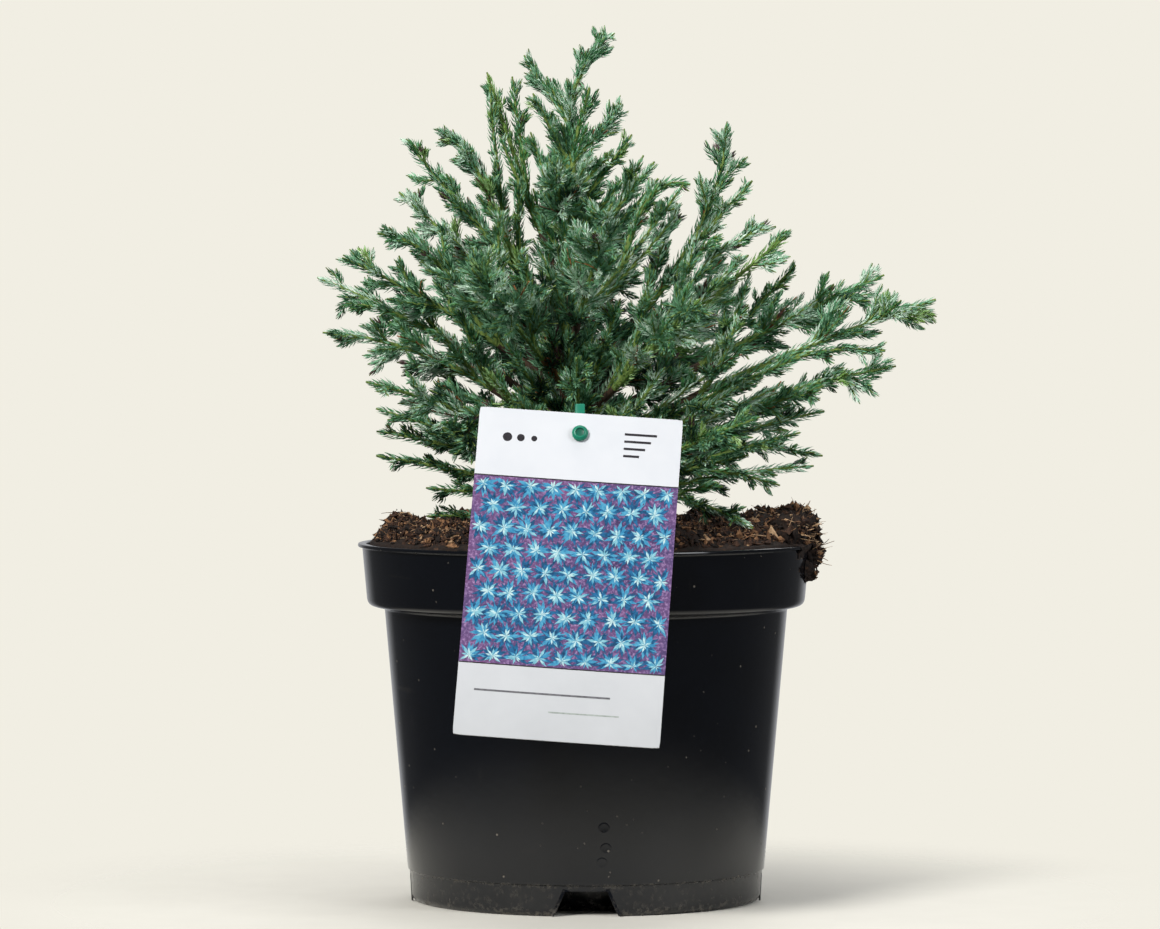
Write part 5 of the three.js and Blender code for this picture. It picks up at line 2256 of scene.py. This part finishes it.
    def build(self) -> None:
        """Grows and dresses the whole crown, joined by region."""
        self.boughs()
        needle_finishes = [finish.material() for finish in NEEDLE_FINISHES]
        wood_finishes = [finish.material() for finish in WOOD_FINISHES]
        for region, lines in REGIONS.items():
            leaves, twigs = Heap(), Heap()
            for line in lines:
                shoots = self.grow(line)
                self.needles(leaves, shoots, FIRST_SEED + line.number)
                self.twigs(twigs, shoots)
            if region == "crown":
                shoots = self.stem_shoots()
                self.needles(leaves, shoots, FIRST_SEED - 1)
                self.twigs(twigs, [shoot for shoot in shoots if shoot.order > 0])
            nodes = tuple("foliage_" + line.name for line in lines if line.name)
            needles, wood_name = "needles_" + region, "twigs_" + region
            Piece(needles, Slot.NEEDLES, nodes).place(leaves.mesh(needles), needle_finishes, None)
            Piece(wood_name, Slot.NEEDLES, nodes).place(twigs.mesh(wood_name), wood_finishes, 50)


# The studio


@dataclass
class Studio:
    """The pale floor, the soft lights and the camera."""

    pale: tuple[int, int, int] = (241, 238, 227)
    floor_radius: float = 1500
    floor_near: float = 100
    floor_fade: float = 290
    camera_place: XYZ = (-2.5, -2300, 249)
    aim: XYZ = (-2.5, 0, 181)
    lit: XYZ = (0, 0, 200)
    lens: float = 171.4

    def turn(self, obj: bpy.types.Object, place: tuple, aim: tuple) -> None:
        """Puts a lamp or the camera at a place in millimetres and aims it at another."""
        obj.location = Vector(place) * MM
        obj.rotation_euler = (Vector(aim) * MM - obj.location).to_track_quat("-Z", "Y").to_euler()

    def floor(self) -> None:
        """Builds the round pale floor, which melts into the backdrop's colour."""
        bm = bmesh.new()
        bmesh.ops.create_circle(bm, cap_ends=True, segments=128, radius=self.floor_radius * MM)
        mesh = baked(bm, "floor")
        graph = Surface("pale floor")
        away = graph.add("ShaderNodeVectorMath", {0: graph.place}, operation="LENGTH")
        ends = {"From Min": self.floor_near * MM, "From Max": self.floor_fade * MM}
        ends["Value"] = away.outputs["Value"]
        near = graph.add("ShaderNodeMapRange", ends, interpolation_type="SMOOTHSTEP")
        grain = graph.ramp(graph.noise(30, 2), (0.3, (232, 229, 219)), (0.7, (236, 233, 223)))
        graph.surface(Base_Color=grain, Roughness=0.7, Specular_IOR_Level=0.2)
        clear = graph.add("ShaderNodeBsdfTransparent")
        layers = {0: near.outputs["Result"], 1: graph.shader.outputs[0], 2: clear.outputs[0]}
        shown = graph.add("ShaderNodeMixShader", layers)
        graph.links.new(shown.outputs[0], graph.nodes["Material Output"].inputs["Surface"])
        mesh.materials.append(graph.material)
        placed("floor", mesh)

    def light(self, name: str, place: XYZ, size: tuple[float, float], power: float, tint: XYZ) -> None:
        """Adds one soft light that faces the plant.

        Args:
            name: The light's name.
            place: Where it is, in millimetres.
            size: Its width and height in metres.
            power: Its power in watts.
            tint: Its colour.
        """
        lamp = bpy.data.lights.new(name, "AREA")
        lamp.shape = "RECTANGLE"
        lamp.size, lamp.size_y = size
        lamp.energy = power
        lamp.color = tint
        self.turn(placed(name, lamp), place, self.lit)

    def world(self) -> None:
        """Sets the backdrop's colour, and a dimmer even light from it."""
        world = bpy.data.worlds.new("studio")
        world.use_nodes = True
        bpy.context.scene.world = world
        graph = Graph(world)
        seen = graph.nodes["Background"]
        seen.inputs["Color"].default_value = srgb(*self.pale)
        way = graph.add("ShaderNodeTexCoord").outputs["Generated"]
        ends = {"Value": graph.add("ShaderNodeSeparateXYZ", {0: way}).outputs["Y"]}
        ends.update({"From Min": 0.82, "From Max": 1.0, "To Min": 0.1, "To Max": 0.6})
        behind = graph.add("ShaderNodeMapRange", ends, interpolation_type="SMOOTHSTEP").outputs["Result"]
        glow = graph.add("ShaderNodeBackground", {"Color": srgb(240, 242, 246), "Strength": behind})
        camera = graph.add("ShaderNodeLightPath").outputs["Is Camera Ray"]
        blend = graph.add("ShaderNodeMixShader", {0: camera, 1: glow.outputs[0], 2: seen.outputs[0]})
        graph.links.new(blend.outputs[0], graph.nodes["World Output"].inputs["Surface"])

    def camera(self) -> None:
        """Sets the camera at the photograph's viewpoint."""
        data = bpy.data.cameras.new("camera")
        data.lens = self.lens
        data.sensor_fit = "HORIZONTAL"
        data.sensor_width = 36
        data.clip_start = 0.05
        data.clip_end = 50
        obj = placed("camera", data)
        self.turn(obj, self.camera_place, self.aim)
        bpy.context.scene.camera = obj

    def build(self) -> None:
        """Builds the whole studio."""
        self.floor()
        self.world()
        self.camera()
        self.light("key_left", (-1000, -1400, 1300), (0.5, 0.6), 40, (1, 0.99, 0.97))
        self.light("fill_right", (1500, -1100, 900), (0.6, 1.2), 17, (0.96, 0.98, 1))
        self.light("rim_back", (500, 1500, 1300), (1.2, 0.8), 10, (1, 1, 1))
        self.light("top", (0, 100, 1900), (1.2, 1.2), 10, (1, 1, 1))
        bpy.context.scene.view_settings.view_transform = "Standard"
        bpy.context.scene.view_settings.look = "None"


def main() -> None:
    """Builds the plant, the pot, the tag and the studio in order."""
    logging.basicConfig(level=logging.INFO, format="%(message)s")
    pot = Pot()
    pot.build()
    peat = Peat(pot)
    peat.build()
    tag = Tag(pot)
    tag.build()
    stem = Stem()
    stem.build()
    Foliage(stem, tag, peat).build()
    Studio().build()
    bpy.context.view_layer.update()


if __name__ == "__main__":
    main()
